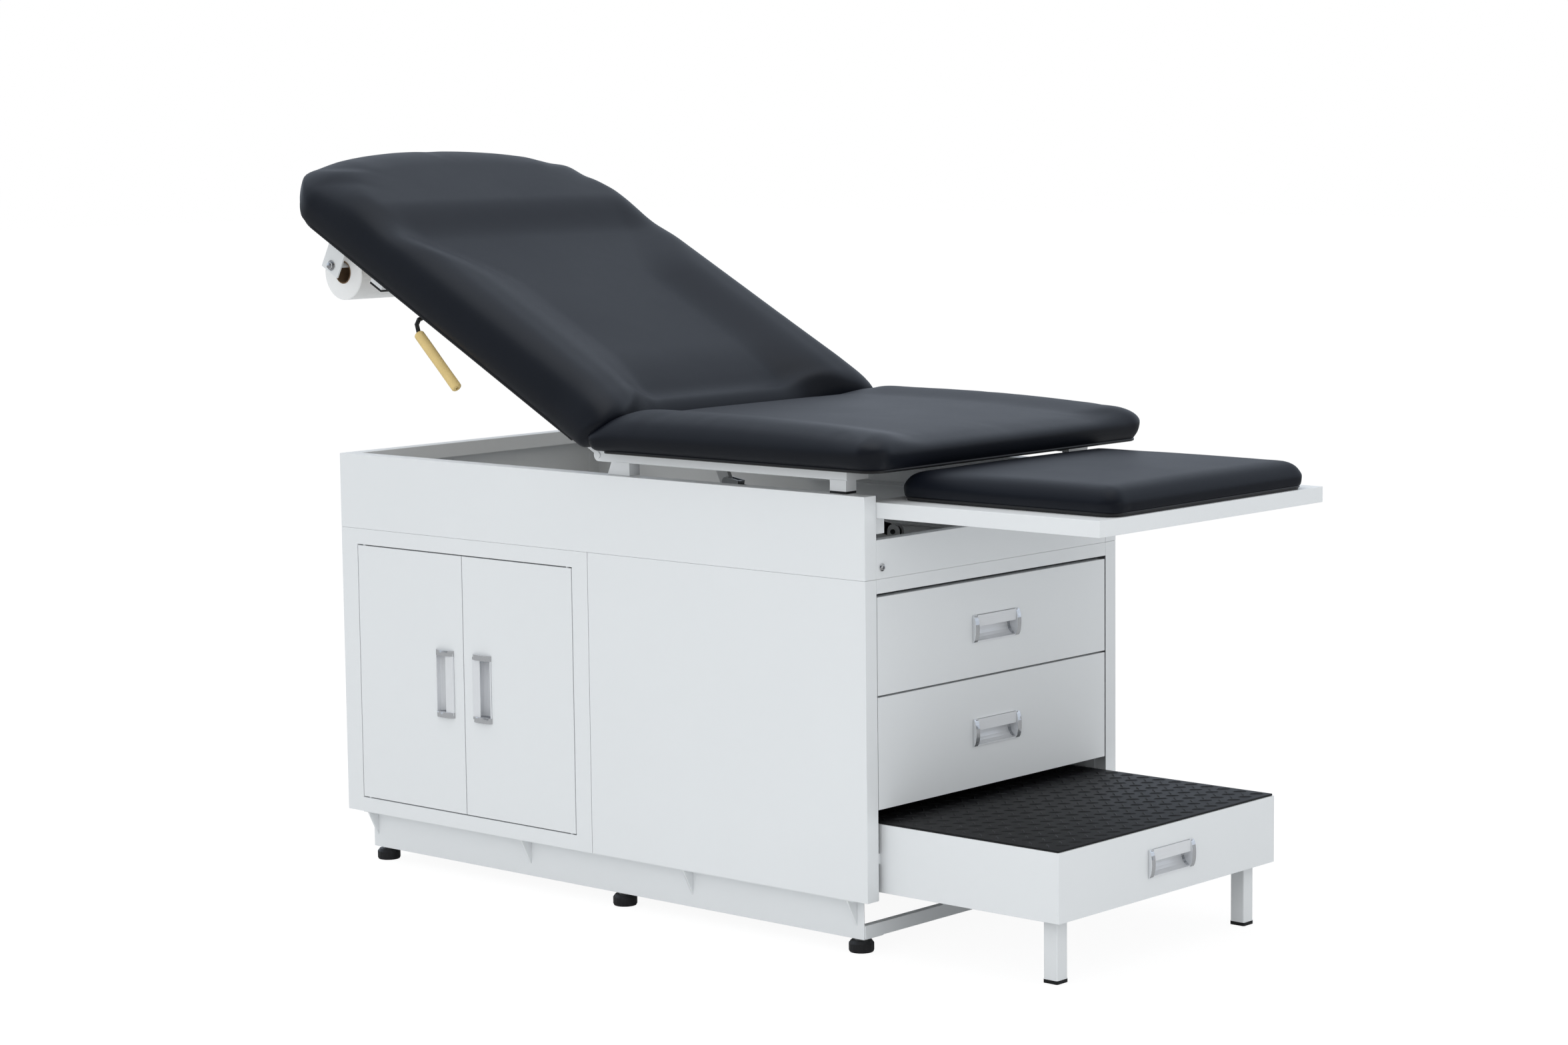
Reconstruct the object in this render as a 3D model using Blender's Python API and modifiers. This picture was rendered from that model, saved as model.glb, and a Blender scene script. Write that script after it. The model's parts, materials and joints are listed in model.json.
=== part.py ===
"""Examination table with a cabinet: a steel case with doors, drawers and a pull-out step, an open surround
above it, a seat on rails, a tilting backrest with a paper roll, and a leg extension that slides out.
Metres, Z up, foot end towards +X, door side towards -Y, floor at Z = 0."""

import math

import bmesh
import bpy
from mathutils import Matrix, Vector

# Gaps and sheet
GAP = 0.0003
RUN = 0.0002
SHEET = 0.0015

# Case
CASE_LENGTH = 1.170
CASE_WIDTH = 0.622
FRONT_X = 0.460
CASE_BOTTOM = 0.087
SEAM_Z = 0.574
RIM_Z = 0.700
FLANGE = 0.0265
SEAM_FROM_FRONT = 0.581
SEAM_GAP = 0.001
RAIL_HEIGHT = 0.0215
FRONT_WALL_TOP = 0.633
RIM_LIP = 0.024
FOLD = 0.020

# Doors
DOOR_HEAD_MARGIN = 0.039
DOOR_SEAM_MARGIN = 0.035
DOOR_SILL = 0.1115
DOOR_LINTEL = 0.5475
DOOR_GAP = 0.002
DOOR_DEPTH = 0.018
JAMB_DEPTH = 0.022
PIVOT_IN = 0.012
PIVOT_BACK = 0.005
PIVOT_RADIUS = 0.003

# Drawers
DRAWER_SPLIT = 0.397
DRAWER_BOTTOM = 0.2255
DRAWER_TOP_GAP = 0.0055
DRAWER_GAP = 0.003
DRAWER_SIDE_GAP = 0.002
DRAWER_INSET = 0.001
DRAWER_FRONT_DEPTH = 0.018
TRAY_DEPTH = 0.440
TRAY_SIDE_INSET = 0.0145
TRAY_ABOVE = 0.010
TRAY_BELOW = 0.020
RUNNER_HEIGHT = 0.012
RUNNER_DROP = 0.070

# Recessed pulls
PULL_LENGTH = 0.113
PULL_HEIGHT = 0.0434
PULL_CAP = 0.0090
PULL_PROUD = 0.0035
PULL_BOW = 0.0068
PULL_DEPTH = 0.0160
PULL_WALL = 0.0015
PULL_LIP = 0.001
PULL_FLAP_SHARE = 0.42
PULL_MARGIN = 0.0005
DOOR_PULL_FROM_SPLIT = 0.0447
DOOR_PULL_Z = 0.329

# Step
STEP_OUT = 0.331
STEP_DEPTH = 0.551
STEP_SIDE_GAP = 0.009
STEP_BOTTOM = 0.098
STEP_TOP = 0.2024
STEP_PULL_Z = 0.1497
MAT_THICKNESS = 0.0035
MAT_INSET = 0.002
LEG_SIZE = 0.025
LEG_INSET = 0.022
LEG_BOOT = 0.0008
LEG_BOOT_HEIGHT = 0.006
LEG_CLEAR = 0.001
STEP_RUNNER_Z = 0.142
STEP_RUNNER_HEIGHT = 0.016

# Base
SKIRT_INSET = 0.026
SKIRT_BOTTOM = 0.0225
SKIRT_FLANGE = 0.045
SKIRT_HEAD_INSET = 0.035
SKIRT_FRONT_INSET = 0.030
GUSSET_DEPTH = 0.0225
GUSSET_HEIGHT = 0.045
GUSSET_THICKNESS = 0.003
GUSSET_MARGIN = 0.045
GUSSET_SHARES = (0.0, 0.315, 0.653, 1.0)
BAR_DEPTH = 0.012
BAR_HEIGHT = 0.020
BAR_INSET = 0.028
FOOT_FRONT_MARGIN = 0.050
FOOT_SEAM_MARGIN = 0.030
FOOT_HEAD_MARGIN = 0.052
FOOT_INSET = 0.043
FOOT_RADIUS = 0.0195
FOOT_HEIGHT = 0.018
STEM_RADIUS = 0.005
STEM_TOP = 0.060

# Seat
SEAT_RAIL_HEIGHT = 0.020
SEAT_RAIL_WIDTH = 0.050
SEAT_RAIL_INSET = 0.0136
SEAT_RAIL_START = 0.0456
SEAT_RAIL_END = 0.5445
SEAT_RAIL_BOTTOM = 0.7197
RAIL_WALL = 0.002
POST_FRONT = (0.047, 0.079)
POST_REAR = (0.497, 0.545)
POST_REAR_TAPER = 0.009
POST_WIDTH = 0.0234
EAR_THICKNESS = 0.004
BOARD = 0.015
PAD_HALF_WIDTH = 0.345
SEAT_FRONT = 0.047
SEAT_REAR = 0.548
SEAT_TOP = 0.802
SEAT_DIP = 0.016
SEAT_LEAN = 0.25
BOLSTER_WIDTH = 0.125
PAD_CORNER = 0.045
PAD_EDGE = 0.052
PAD_BULGE = 0.006
PAD_TUCK = 0.009
BOARD_INSET = 0.033
BOARD_CLEAR = 0.001

# Backrest, measured along the backrest from its hinge and square to it
HINGE_FROM_FRONT = 0.565
HINGE_PIN = 0.005
PIN_PROUD = 0.002
BACK_TILT = 28.0
BACK_LENGTH = 0.8815
BACK_START = 0.026
BACK_STRAIGHT = 0.708
BACK_HEAD_POWER = 2.0
BACK_TOP = 0.098
BACK_PANEL = 0.070
BACK_PILLOW = 0.094
BACK_LEAN = 0.55
PILLOW_FROM = 0.535
PILLOW_TO = 0.645
BACK_RAIL_INSET = 0.025
BACK_RAIL_WIDTH = 0.025
BACK_RAIL_LENGTH = 0.620
CROSS_WIDTH = 0.025
CROSS_LOWER = 0.050
CROSS_UPPER = 0.580
BUMPER_AT = 0.575
BUMPER_LENGTH = 0.030

# Paper roll
ROLL_RADIUS = 0.048
CORE_RADIUS = 0.018
ROLL_LENGTH = 0.482
ROLL_ROD = 0.005
ROLL_ROD_AT = (0.7213, -0.0608)
BRACKET_WIDTH = 0.044
ROLL_END_GAP = 0.022
BRACKET_BELOW = 0.0735
BRACKET_FLANGE = 0.026

# Release lever
LEVER_AXIS = (0.440, 0.0)
LEVER_ROD = 0.004
LEVER_OUT = 0.0115
LEVER_SHAFT_IN = 0.071
GRIP_START = (0.427, -0.0205)
GRIP_END = (0.306, -0.058)
GRIP_RADIUS = 0.00875

# Gas spring
SPRING_FRONT = (0.200, 0.605)
ARM_RADIUS = 0.075
ARM_MIDDLE_TILT = 32.0
ARM_THICKNESS = 0.008
ARM_END = 0.011
SPRING_LIFT = 1.0
CYLINDER_RADIUS = 0.010
CYLINDER_LENGTH = 0.185
CYLINDER_START = 0.016
ROD_RADIUS = 0.004
ROD_INSIDE = 0.095
FORK_REACH = 0.022
FORK_WIDTH = 0.018
FORK_PLATE = 0.003
FORK_CLEAR = 0.001
SPRING_PIN = 0.004

# Leg extension
TRAY_FRONT = 0.411
TRAY_REAR = 0.020
TRAY_BOTTOM = 0.666
TRAY_TOP = 0.690
TRAY_SIDE_GAP = 0.0007
ARM_WIDTH = 0.023
ARM_REAR = 0.250
ARM_STOP = 0.004
STAY_FRONT = 0.300
STAY_SETBACK = 0.001
SHOE_LENGTH = 0.200
SHOE_CLEAR = 0.0014
GUIDE_SHELF = 0.6398
GUIDE_LIP = 0.6668
GUIDE_END = 0.665
LEG_PAD_REAR = 0.008
LEG_PAD_FRONT = 0.4080
LEG_PAD_SIDE_INSET = 0.040
LEG_PAD_TOP = 0.733
LEG_PAD_CORNER = 0.026

# Lines derived from the sizes above
HALF = CASE_WIDTH / 2
HEAD_X = FRONT_X - CASE_LENGTH
SEAM_X = FRONT_X - SEAM_FROM_FRONT
CLEAR_HALF = HALF - FLANGE
HINGE_X = FRONT_X - HINGE_FROM_FRONT
HINGE_Z = SEAT_RAIL_BOTTOM + SEAT_RAIL_HEIGHT / 2
RAIL_TOP = SEAT_RAIL_BOTTOM + SEAT_RAIL_HEIGHT
PAD_BASE = RAIL_TOP + GAP
LOCAL_BASE = SEAT_RAIL_HEIGHT / 2 + GAP
TILT = math.radians(BACK_TILT)
DOOR_X0 = HEAD_X + DOOR_HEAD_MARGIN
DOOR_X1 = SEAM_X - DOOR_SEAM_MARGIN
DOOR_SPLIT = (DOOR_X0 + DOOR_X1) / 2
DECK_Z = SEAM_Z - SHEET - GAP
STEP_FRONT = FRONT_X + STEP_OUT
RUNNER_HALF = CLEAR_HALF - 2 * RUN - GAP
WALL_INNER = HALF - SHEET - GAP
STEP_HALF_WIDTH = CLEAR_HALF - STEP_SIDE_GAP
LEG_PAD_HALF = CLEAR_HALF - LEG_PAD_SIDE_INSET
LEVER_SIDE = HALF + LEVER_OUT
LEVER_SHAFT_END = HALF - LEVER_SHAFT_IN
BRACKET_HALF = ROLL_LENGTH / 2 + ROLL_END_GAP + 2 * SHEET
GUSSET_SPAN = CASE_LENGTH - 2 * GUSSET_MARGIN
FEET_X = (FRONT_X - FOOT_FRONT_MARGIN, SEAM_X + FOOT_SEAM_MARGIN, HEAD_X + FOOT_HEAD_MARGIN)


def clear_scene():
    """Empties the file and makes the two collections."""
    for item in list(bpy.data.objects):
        bpy.data.objects.remove(item)
    for name in ("examination_table_with_cabinet", "cutters"):
        group = bpy.data.collections.new(name)
        bpy.context.scene.collection.children.link(group)


def group_of(name):
    return bpy.data.collections[name]


def material(name, colour, roughness, metallic=0.0):
    """A plain surface with its colour, roughness and metallic value."""
    made = bpy.data.materials.new(name)
    made.use_nodes = True
    surface = made.node_tree.nodes["Principled BSDF"]
    surface.inputs["Base Color"].default_value = (*colour, 1.0)
    surface.inputs["Roughness"].default_value = roughness
    surface.inputs["Metallic"].default_value = metallic
    made.diffuse_color = (*colour, 1.0)
    return made


def paint():
    return material("white_powder_coat", (0.80, 0.81, 0.82), 0.38)


def vinyl():
    return material("charcoal_vinyl", (0.022, 0.025, 0.032), 0.36)


def plywood():
    return material("plywood", (0.56, 0.42, 0.27), 0.65)


def rubber():
    return material("black_rubber", (0.018, 0.018, 0.019), 0.70)


def silver():
    return material("satin_aluminium", (0.72, 0.73, 0.75), 0.28, 1.0)


def steel():
    return material("bright_steel", (0.63, 0.63, 0.64), 0.22, 1.0)


def black_steel():
    return material("black_steel", (0.02, 0.02, 0.02), 0.42)


def foam():
    return material("cream_foam", (0.76, 0.64, 0.36), 0.75)


def paper():
    return material("white_paper", (0.86, 0.86, 0.85), 0.80)


def body(name, origin, parent=None, tilt=0.0):
    """An empty on a joint axis. The pieces that move with it are its children."""
    empty = bpy.data.objects.new(name, None)
    empty.empty_display_size = 0.03
    group_of("examination_table_with_cabinet").objects.link(empty)
    empty.location = Vector(origin)
    empty.rotation_euler = (0.0, tilt, 0.0)
    empty.parent = parent
    return empty


def zero_of(owner):
    """Where an owner's own zero lies in the frame its pieces are drawn in."""
    if owner.name in ("examination_table", "backrest"):
        return Vector((0.0, 0.0, 0.0))
    return Vector(owner.location)


def centred(mesh):
    """Moves a mesh so that the middle of its box is its zero, and gives that middle."""
    corners = [vertex.co for vertex in mesh.vertices]
    low = Vector([min(corner[i] for corner in corners) for i in range(3)])
    high = Vector([max(corner[i] for corner in corners) for i in range(3)])
    middle = (low + high) / 2
    mesh.transform(Matrix.Translation(-middle))
    return middle


def piece(name, mesh, owner, finish):
    """Adds a sub-part to its body."""
    middle = centred(mesh)
    made = bpy.data.objects.new(name, mesh)
    group_of("examination_table_with_cabinet").objects.link(made)
    made.parent = owner
    made.location = middle - zero_of(owner)
    mesh.materials.append(finish)
    return made


def helper(target, label, mesh):
    """A hidden shape that cuts a sub-part or is welded to it."""
    middle = centred(mesh)
    made = bpy.data.objects.new(target.name + "_" + label, mesh)
    group_of("cutters").objects.link(made)
    made.parent = target.parent
    made.location = middle - zero_of(target.parent)
    made.hide_render = True
    made.display_type = "WIRE"
    return made


def boolean(target, label, mesh, operation, wall=0.0):
    tool = helper(target, label, mesh)
    if wall:
        thicken(tool, wall)
    step = target.modifiers.new(label, "BOOLEAN")
    step.operation = operation
    step.solver = "EXACT"
    step.object = tool
    return tool


def cut(target, label, mesh):
    return boolean(target, label, mesh, "DIFFERENCE")


def weld(target, label, mesh, wall=0.0):
    return boolean(target, label, mesh, "UNION", wall)


def thicken(target, wall):
    """Gives an open sheet its thickness, inwards from its outer face."""
    step = target.modifiers.new("sheet", "SOLIDIFY")
    step.thickness = wall
    step.offset = -1.0
    step.use_even_offset = True
    return target


def mesh_of(name, shape):
    """Closes a working mesh with its faces turned outwards."""
    bmesh.ops.recalc_face_normals(shape, faces=shape.faces[:])
    if shape.calc_volume(signed=True) < 0.0:
        bmesh.ops.reverse_faces(shape, faces=shape.faces[:])
    mesh = bpy.data.meshes.new(name)
    shape.to_mesh(mesh)
    shape.free()
    return mesh


def box(name, low, high):
    shape = bmesh.new()
    bmesh.ops.create_cube(shape, size=1.0)
    low = Vector(low)
    high = Vector(high)
    for vertex in shape.verts:
        for i in range(3):
            vertex.co[i] = low[i] if vertex.co[i] < 0 else high[i]
    return mesh_of(name, shape)


def pan(name, low, high, open_side):
    """A folded sheet pan: a box with one side left open, still without thickness."""
    mesh = box(name, low, high)
    axis = "XYZ".index(open_side[1])
    sign = 1.0 if open_side[0] == "+" else -1.0
    shape = bmesh.new()
    shape.from_mesh(mesh)
    shape.normal_update()
    gone = [face for face in shape.faces if face.normal[axis] * sign > 0.9]
    bmesh.ops.delete(shape, geom=gone, context="FACES")
    shape.to_mesh(mesh)
    shape.free()
    return mesh


AXES = {
    "X": Matrix(((0, 0, 1, 0), (1, 0, 0, 0), (0, 1, 0, 0), (0, 0, 0, 1))),
    "Y": Matrix(((1, 0, 0, 0), (0, 0, 1, 0), (0, 1, 0, 0), (0, 0, 0, 1))),
    "Z": Matrix.Identity(4),
}


def extruded(name, loops, axis, start, end):
    """Flat outlines filled and carried along an axis. Loops after the first are holes."""
    curve = bpy.data.curves.new(name, "CURVE")
    curve.dimensions = "2D"
    curve.fill_mode = "BOTH"
    curve.extrude = abs(end - start) / 2
    for loop in loops:
        spline = curve.splines.new("POLY")
        spline.points.add(len(loop) - 1)
        for point, place in zip(spline.points, loop):
            point.co = (place[0], place[1], 0.0, 1.0)
        spline.use_cyclic_u = True
    guide = bpy.data.objects.new(name, curve)
    mesh = bpy.data.meshes.new_from_object(guide)
    bpy.data.objects.remove(guide)
    bpy.data.curves.remove(curve)
    shape = bmesh.new()
    shape.from_mesh(mesh)
    bpy.data.meshes.remove(mesh)
    bmesh.ops.remove_doubles(shape, verts=shape.verts[:], dist=1e-6)
    shape.transform(AXES[axis] @ Matrix.Translation((0.0, 0.0, (start + end) / 2)))
    return mesh_of(name, shape)


def strip(path, thickness):
    """Outline of a bent sheet: a line, and the same line moved to its right by the thickness."""
    points = [Vector(place) for place in path]
    legs = [(b - a).normalized() for a, b in zip(points, points[1:])]
    sides = [Vector((leg.y, -leg.x)) for leg in legs]
    moved = []
    for i, point in enumerate(points):
        before = sides[max(i - 1, 0)]
        after = sides[min(i, len(sides) - 1)]
        moved.append(point + (before + after) * (thickness / (1.0 + before.dot(after))))
    return points + moved[::-1]


def ring(centre, radius, steps=32, start=0.0, sweep=360.0):
    """Points on an arc, or round a whole circle."""
    closed = abs(sweep) >= 360.0
    count = steps if closed else steps + 1
    points = []
    for i in range(count):
        angle = math.radians(start + sweep * i / steps)
        points.append((centre[0] + radius * math.cos(angle), centre[1] + radius * math.sin(angle)))
    return points


def rounded(low, high, radius, steps=4):
    """Outline of a rectangle with rounded corners."""
    inner = ((high[0], high[1], 0), (low[0], high[1], 90), (low[0], low[1], 180), (high[0], low[1], 270))
    points = []
    for x, y, start in inner:
        centre = (x - radius * (1 if x == high[0] else -1), y - radius * (1 if y == high[1] else -1))
        points += ring(centre, radius, steps, start, 90.0)
    return points


def turned(name, profile, owner, finish, at, steps=32, turn=None):
    """A round piece: its half section, outer end first, turned about its own Z axis."""
    mesh = bpy.data.meshes.new(name)
    places = [(radius, 0.0, height) for radius, height in profile]
    mesh.from_pydata(places, [(i, i + 1) for i in range(len(places) - 1)], [])
    made = bpy.data.objects.new(name, mesh)
    group_of("examination_table_with_cabinet").objects.link(made)
    made.parent = owner
    made.location = Vector(at) - zero_of(owner)
    made.rotation_euler = turn or (0.0, 0.0, 0.0)
    mesh.materials.append(finish)
    step = made.modifiers.new("turn", "SCREW")
    step.steps = steps
    step.render_steps = steps
    step.use_merge_vertices = True
    step.merge_threshold = 0.00001
    return made


def cylinder_between(name, start, end, radius, steps=32):
    """A plain round bar between two points."""
    start = Vector(start)
    end = Vector(end)
    shape = bmesh.new()
    bmesh.ops.create_cone(
        shape, cap_ends=True, segments=steps, radius1=radius, radius2=radius, depth=(end - start).length
    )
    turn = (end - start).to_track_quat("Z", "Y").to_matrix().to_4x4()
    shape.transform(Matrix.Translation((start + end) / 2) @ turn)
    return mesh_of(name, shape)


def bent_rod(name, points, radius):
    """A round rod along a line of points, with closed ends."""
    curve = bpy.data.curves.new(name, "CURVE")
    curve.dimensions = "3D"
    curve.bevel_depth = radius
    curve.bevel_resolution = 2
    curve.use_fill_caps = True
    spline = curve.splines.new("POLY")
    spline.points.add(len(points) - 1)
    for point, place in zip(spline.points, points):
        point.co = (*place, 1.0)
    guide = bpy.data.objects.new(name, curve)
    mesh = bpy.data.meshes.new_from_object(guide)
    bpy.data.objects.remove(guide)
    bpy.data.curves.remove(curve)
    shape = bmesh.new()
    shape.from_mesh(mesh)
    bpy.data.meshes.remove(mesh)
    bmesh.ops.remove_doubles(shape, verts=shape.verts[:], dist=1e-6)
    return mesh_of(name, shape)


def smooth(low, high, value):
    """0 below low, 1 above high, and an even curve between."""
    share = min(max((value - low) / (high - low), 0.0), 1.0)
    return share * share * (3.0 - 2.0 * share)


def spread(share):
    """Crowds grid lines towards both edges, where a cushion turns over."""
    return math.sin(share * math.pi / 2)


def cushion(name, plan, top, skirts, lean, segments):
    """A soft pad: a grid laid on its plan, raised to its top, and drawn down in rings to its base."""
    shape = bmesh.new()
    bmesh.ops.create_grid(shape, x_segments=segments[0], y_segments=segments[1], size=1.0)
    outward = shape.verts.layers.float_vector.new("outward")
    rim_place = shape.verts.layers.float_vector.new("rim")
    for vertex in shape.verts:
        x, y = plan(vertex.co.x, vertex.co.y)
        vertex.co = (x, y, top(x, y))
    rim = [edge for edge in shape.edges if edge.is_boundary]
    middle = sum((vertex.co for vertex in shape.verts), Vector()) / len(shape.verts)
    for vertex in {end for edge in rim for end in edge.verts}:
        near = [edge.other_vert(vertex).co for edge in vertex.link_edges if edge.is_boundary]
        along = near[1] - near[0]
        out = Vector((along.y, -along.x, 0.0)).normalized()
        vertex[outward] = out if out.dot(vertex.co - middle) > 0 else -out
        vertex[rim_place] = vertex.co
    for push, height in skirts:
        made = bmesh.ops.extrude_edge_only(shape, edges=rim)["geom"]
        rim = [item for item in made if isinstance(item, bmesh.types.BMEdge) and item.is_boundary]
        for vertex in {end for edge in rim for end in edge.verts}:
            vertex.co = vertex[rim_place] + vertex[outward] * push
            vertex.co.z = height
    bmesh.ops.holes_fill(shape, edges=rim, sides=0)
    for vertex in shape.verts:
        vertex.co.x += lean(vertex.co.x, vertex.co.z)
    shape.verts.layers.float_vector.remove(outward)
    shape.verts.layers.float_vector.remove(shape.verts.layers.float_vector["rim"])
    return mesh_of(name, shape)


def round_corner(along, across, radius):
    """Draws a point in the square at a corner onto the quarter round of that corner."""
    if along <= 0.0 or across <= 0.0:
        return along, across
    bent_along = along * math.sqrt(1.0 - (across / radius) ** 2 / 2.0)
    bent_across = across * math.sqrt(1.0 - (along / radius) ** 2 / 2.0)
    return bent_along, bent_across


def rounded_plan(low, high, half, radius):
    """Plan of a rectangular pad from low to high along X, with rounded corners."""

    def plan(u, v):
        centre = (low + high) / 2
        reach = (high - low) / 2
        x = spread(u) * reach
        y = spread(v) * half
        inner_x = min(max(x, radius - reach), reach - radius)
        inner_y = min(max(y, radius - half), half - radius)
        along, across = round_corner(abs(x - inner_x), abs(y - inner_y), radius)
        x = inner_x + math.copysign(along, x)
        y = inner_y + math.copysign(across, y)
        return centre + x, y

    return plan


def edge_round(distance, radius):
    """Height share of a rounded edge at a distance in from it."""
    share = min(max(distance / radius, 0.0), 1.0)
    return math.sqrt(max(1.0 - (1.0 - share) ** 2, 0.0))


def pad_skirts(base, height):
    """Rings down the side of a thick pad: pushed out below its edge, then drawn in to its base."""
    return (
        (PAD_BULGE, base + 0.65 * height),
        (PAD_BULGE * 0.8, base + 0.3 * height),
        (-PAD_TUCK, base),
    )


def base_skirt(name, side, owner, finish):
    """Long base sheet on one side: foot flange below, bolting flange above, gussets outside."""
    face = side * (HALF - SKIRT_INSET)
    top = CASE_BOTTOM - GAP - SHEET
    inner = face - side * SKIRT_FLANGE
    outer = side * (HALF - 0.1 * SKIRT_INSET)
    path = [(inner, SKIRT_BOTTOM), (face, SKIRT_BOTTOM), (face, top), (outer, top)]
    if side > 0:
        path = path[::-1]
    start = HEAD_X + SKIRT_HEAD_INSET
    end = FRONT_X - SKIRT_FRONT_INSET
    made = piece(name, extruded(name, [strip(path, SHEET)], "X", start, end), owner, finish)
    root = face - side * SHEET / 2
    edge = face + side * GUSSET_DEPTH
    lid = top + SHEET / 2
    for i, share in enumerate(GUSSET_SHARES):
        outline = [(root, lid - GUSSET_HEIGHT), (root, lid), (edge, lid)]
        middle = FRONT_X - GUSSET_MARGIN - share * GUSSET_SPAN
        half = GUSSET_THICKNESS / 2
        weld(made, f"gusset_{i}", extruded("gusset", [outline], "X", middle - half, middle + half))
    for i, middle in enumerate(FEET_X):
        place = side * (HALF - FOOT_INSET)
        below = (middle, place, SKIRT_BOTTOM - SHEET)
        above = (middle, place, SKIRT_BOTTOM + 2 * SHEET)
        cut(made, f"foot_hole_{i}", cylinder_between("foot_hole", below, above, STEM_RADIUS + RUN))


def base_front_bar(owner, finish):
    """Square bar across the base behind the stowed step legs."""
    half = HALF - SKIRT_INSET - SHEET - GAP
    front = FRONT_X - BAR_INSET
    low = SKIRT_BOTTOM + SHEET + GAP
    made = box("base_front_bar", (front - BAR_DEPTH, -half, low), (front, half, low + BAR_HEIGHT))
    piece("base_front_bar", made, owner, finish)


def base_head_bar(owner, finish):
    """Base sheet across the head end, between the side skirts."""
    face = HEAD_X + SKIRT_HEAD_INSET
    half = HALF - SKIRT_INSET - SKIRT_FLANGE - GAP
    top = CASE_BOTTOM - GAP - SHEET
    outer = HEAD_X + 0.3 * SKIRT_HEAD_INSET
    path = [(face + SKIRT_FLANGE, SKIRT_BOTTOM), (face, SKIRT_BOTTOM), (face, top), (outer, top)]
    made = extruded("base_head_bar", [strip(path, SHEET)], "Y", -half, half)
    piece("base_head_bar", made, owner, finish)


def screw_foot(number, x, side, parent, finish):
    """Levelling foot: rubber pad and threaded stem, turning in the skirt flange."""
    place = (x, side * (HALF - FOOT_INSET), 0.0)
    owner = body(f"foot_{number}_axis", place, parent)
    collar = SKIRT_BOTTOM - GAP
    profile = [
        (0.0, STEM_TOP),
        (STEM_RADIUS, STEM_TOP),
        (STEM_RADIUS, collar),
        (2 * STEM_RADIUS, collar),
        (2 * STEM_RADIUS, FOOT_HEIGHT),
        (0.82 * FOOT_RADIUS, FOOT_HEIGHT),
        (FOOT_RADIUS, 0.75 * FOOT_HEIGHT),
        (FOOT_RADIUS, 0.15 * FOOT_HEIGHT),
        (0.93 * FOOT_RADIUS, 0.0),
        (0.0, 0.0),
    ]
    turned(f"foot_{number}", profile, owner, finish, place, steps=24)


def side_panel_near(owner, finish):
    """Plain pan beside the drawers on the door side."""
    low = (SEAM_X + SEAM_GAP / 2, -HALF, CASE_BOTTOM)
    high = (FRONT_X, -CLEAR_HALF, SEAM_Z)
    thicken(piece("side_panel_near", pan("side_panel_near", low, high, "+Y"), owner, finish), SHEET)


def side_panel_far(owner, finish):
    low = (HEAD_X, CLEAR_HALF, CASE_BOTTOM)
    high = (FRONT_X, HALF, SEAM_Z)
    thicken(piece("side_panel_far", pan("side_panel_far", low, high, "-Y"), owner, finish), SHEET)


def door_frame_panel(owner, finish):
    """Pan round the double doors, with a jamb folded in all round the opening."""
    low = (HEAD_X, -HALF, CASE_BOTTOM)
    high = (SEAM_X - SEAM_GAP / 2, -CLEAR_HALF, SEAM_Z)
    made = piece("door_frame_panel", pan("door_frame_panel", low, high, "+Y"), owner, finish)
    thicken(made, SHEET)
    back = -HALF + JAMB_DEPTH
    outer = box(
        "jamb",
        (DOOR_X0 - SHEET, -HALF + SHEET / 2, DOOR_SILL - SHEET),
        (DOOR_X1 + SHEET, back, DOOR_LINTEL + SHEET),
    )
    weld(made, "jamb", outer)
    inner = box("opening", (DOOR_X0, -HALF - SHEET, DOOR_SILL), (DOOR_X1, back + SHEET, DOOR_LINTEL))
    cut(made, "opening", inner)
    for x in (DOOR_X0 + DOOR_GAP + PIVOT_IN, DOOR_X1 - DOOR_GAP - PIVOT_IN):
        y = -HALF + PIVOT_BACK
        low = (x, y, DOOR_SILL - 3 * SHEET)
        high = (x, y, DOOR_LINTEL + 3 * SHEET)
        cut(made, f"pivot_{x:.2f}", cylinder_between("pivot", low, high, PIVOT_RADIUS + RUN))


def head_panel(owner, finish):
    half = CLEAR_HALF - GAP
    inner = HEAD_X + FOLD
    path = [(inner, CASE_BOTTOM), (HEAD_X, CASE_BOTTOM), (HEAD_X, SEAM_Z), (inner, SEAM_Z)]
    piece("head_panel", extruded("head_panel", [strip(path, SHEET)], "Y", -half, half), owner, finish)


def cabinet_floor(owner, finish):
    """Floor of the cupboard, a shallow tray on the bottom flanges of the panels."""
    low = (HEAD_X + SHEET + GAP, -WALL_INNER, CASE_BOTTOM + SHEET + GAP)
    high = (SEAM_X - SEAM_GAP / 2 - SHEET - GAP, WALL_INNER, CASE_BOTTOM + FLANGE / 2)
    thicken(piece("cabinet_floor", pan("cabinet_floor", low, high, "+Z"), owner, finish), SHEET)


def partition(owner, finish):
    """Wall between the cupboard and the drawers."""
    low = (SEAM_X, -CLEAR_HALF + GAP, CASE_BOTTOM + SHEET + GAP)
    high = (SEAM_X + FOLD, WALL_INNER, DECK_Z - SHEET - GAP)
    thicken(piece("partition", pan("partition", low, high, "+X"), owner, finish), SHEET)


def cupboard_shelf(owner, finish):
    z = (DOOR_SILL + DOOR_LINTEL) / 2
    low = (HEAD_X + SHEET + GAP, -HALF + DOOR_DEPTH + FOLD / 2, z - FOLD)
    high = (SEAM_X - GAP, WALL_INNER, z)
    thicken(piece("cupboard_shelf", pan("cupboard_shelf", low, high, "-Z"), owner, finish), SHEET)


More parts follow.
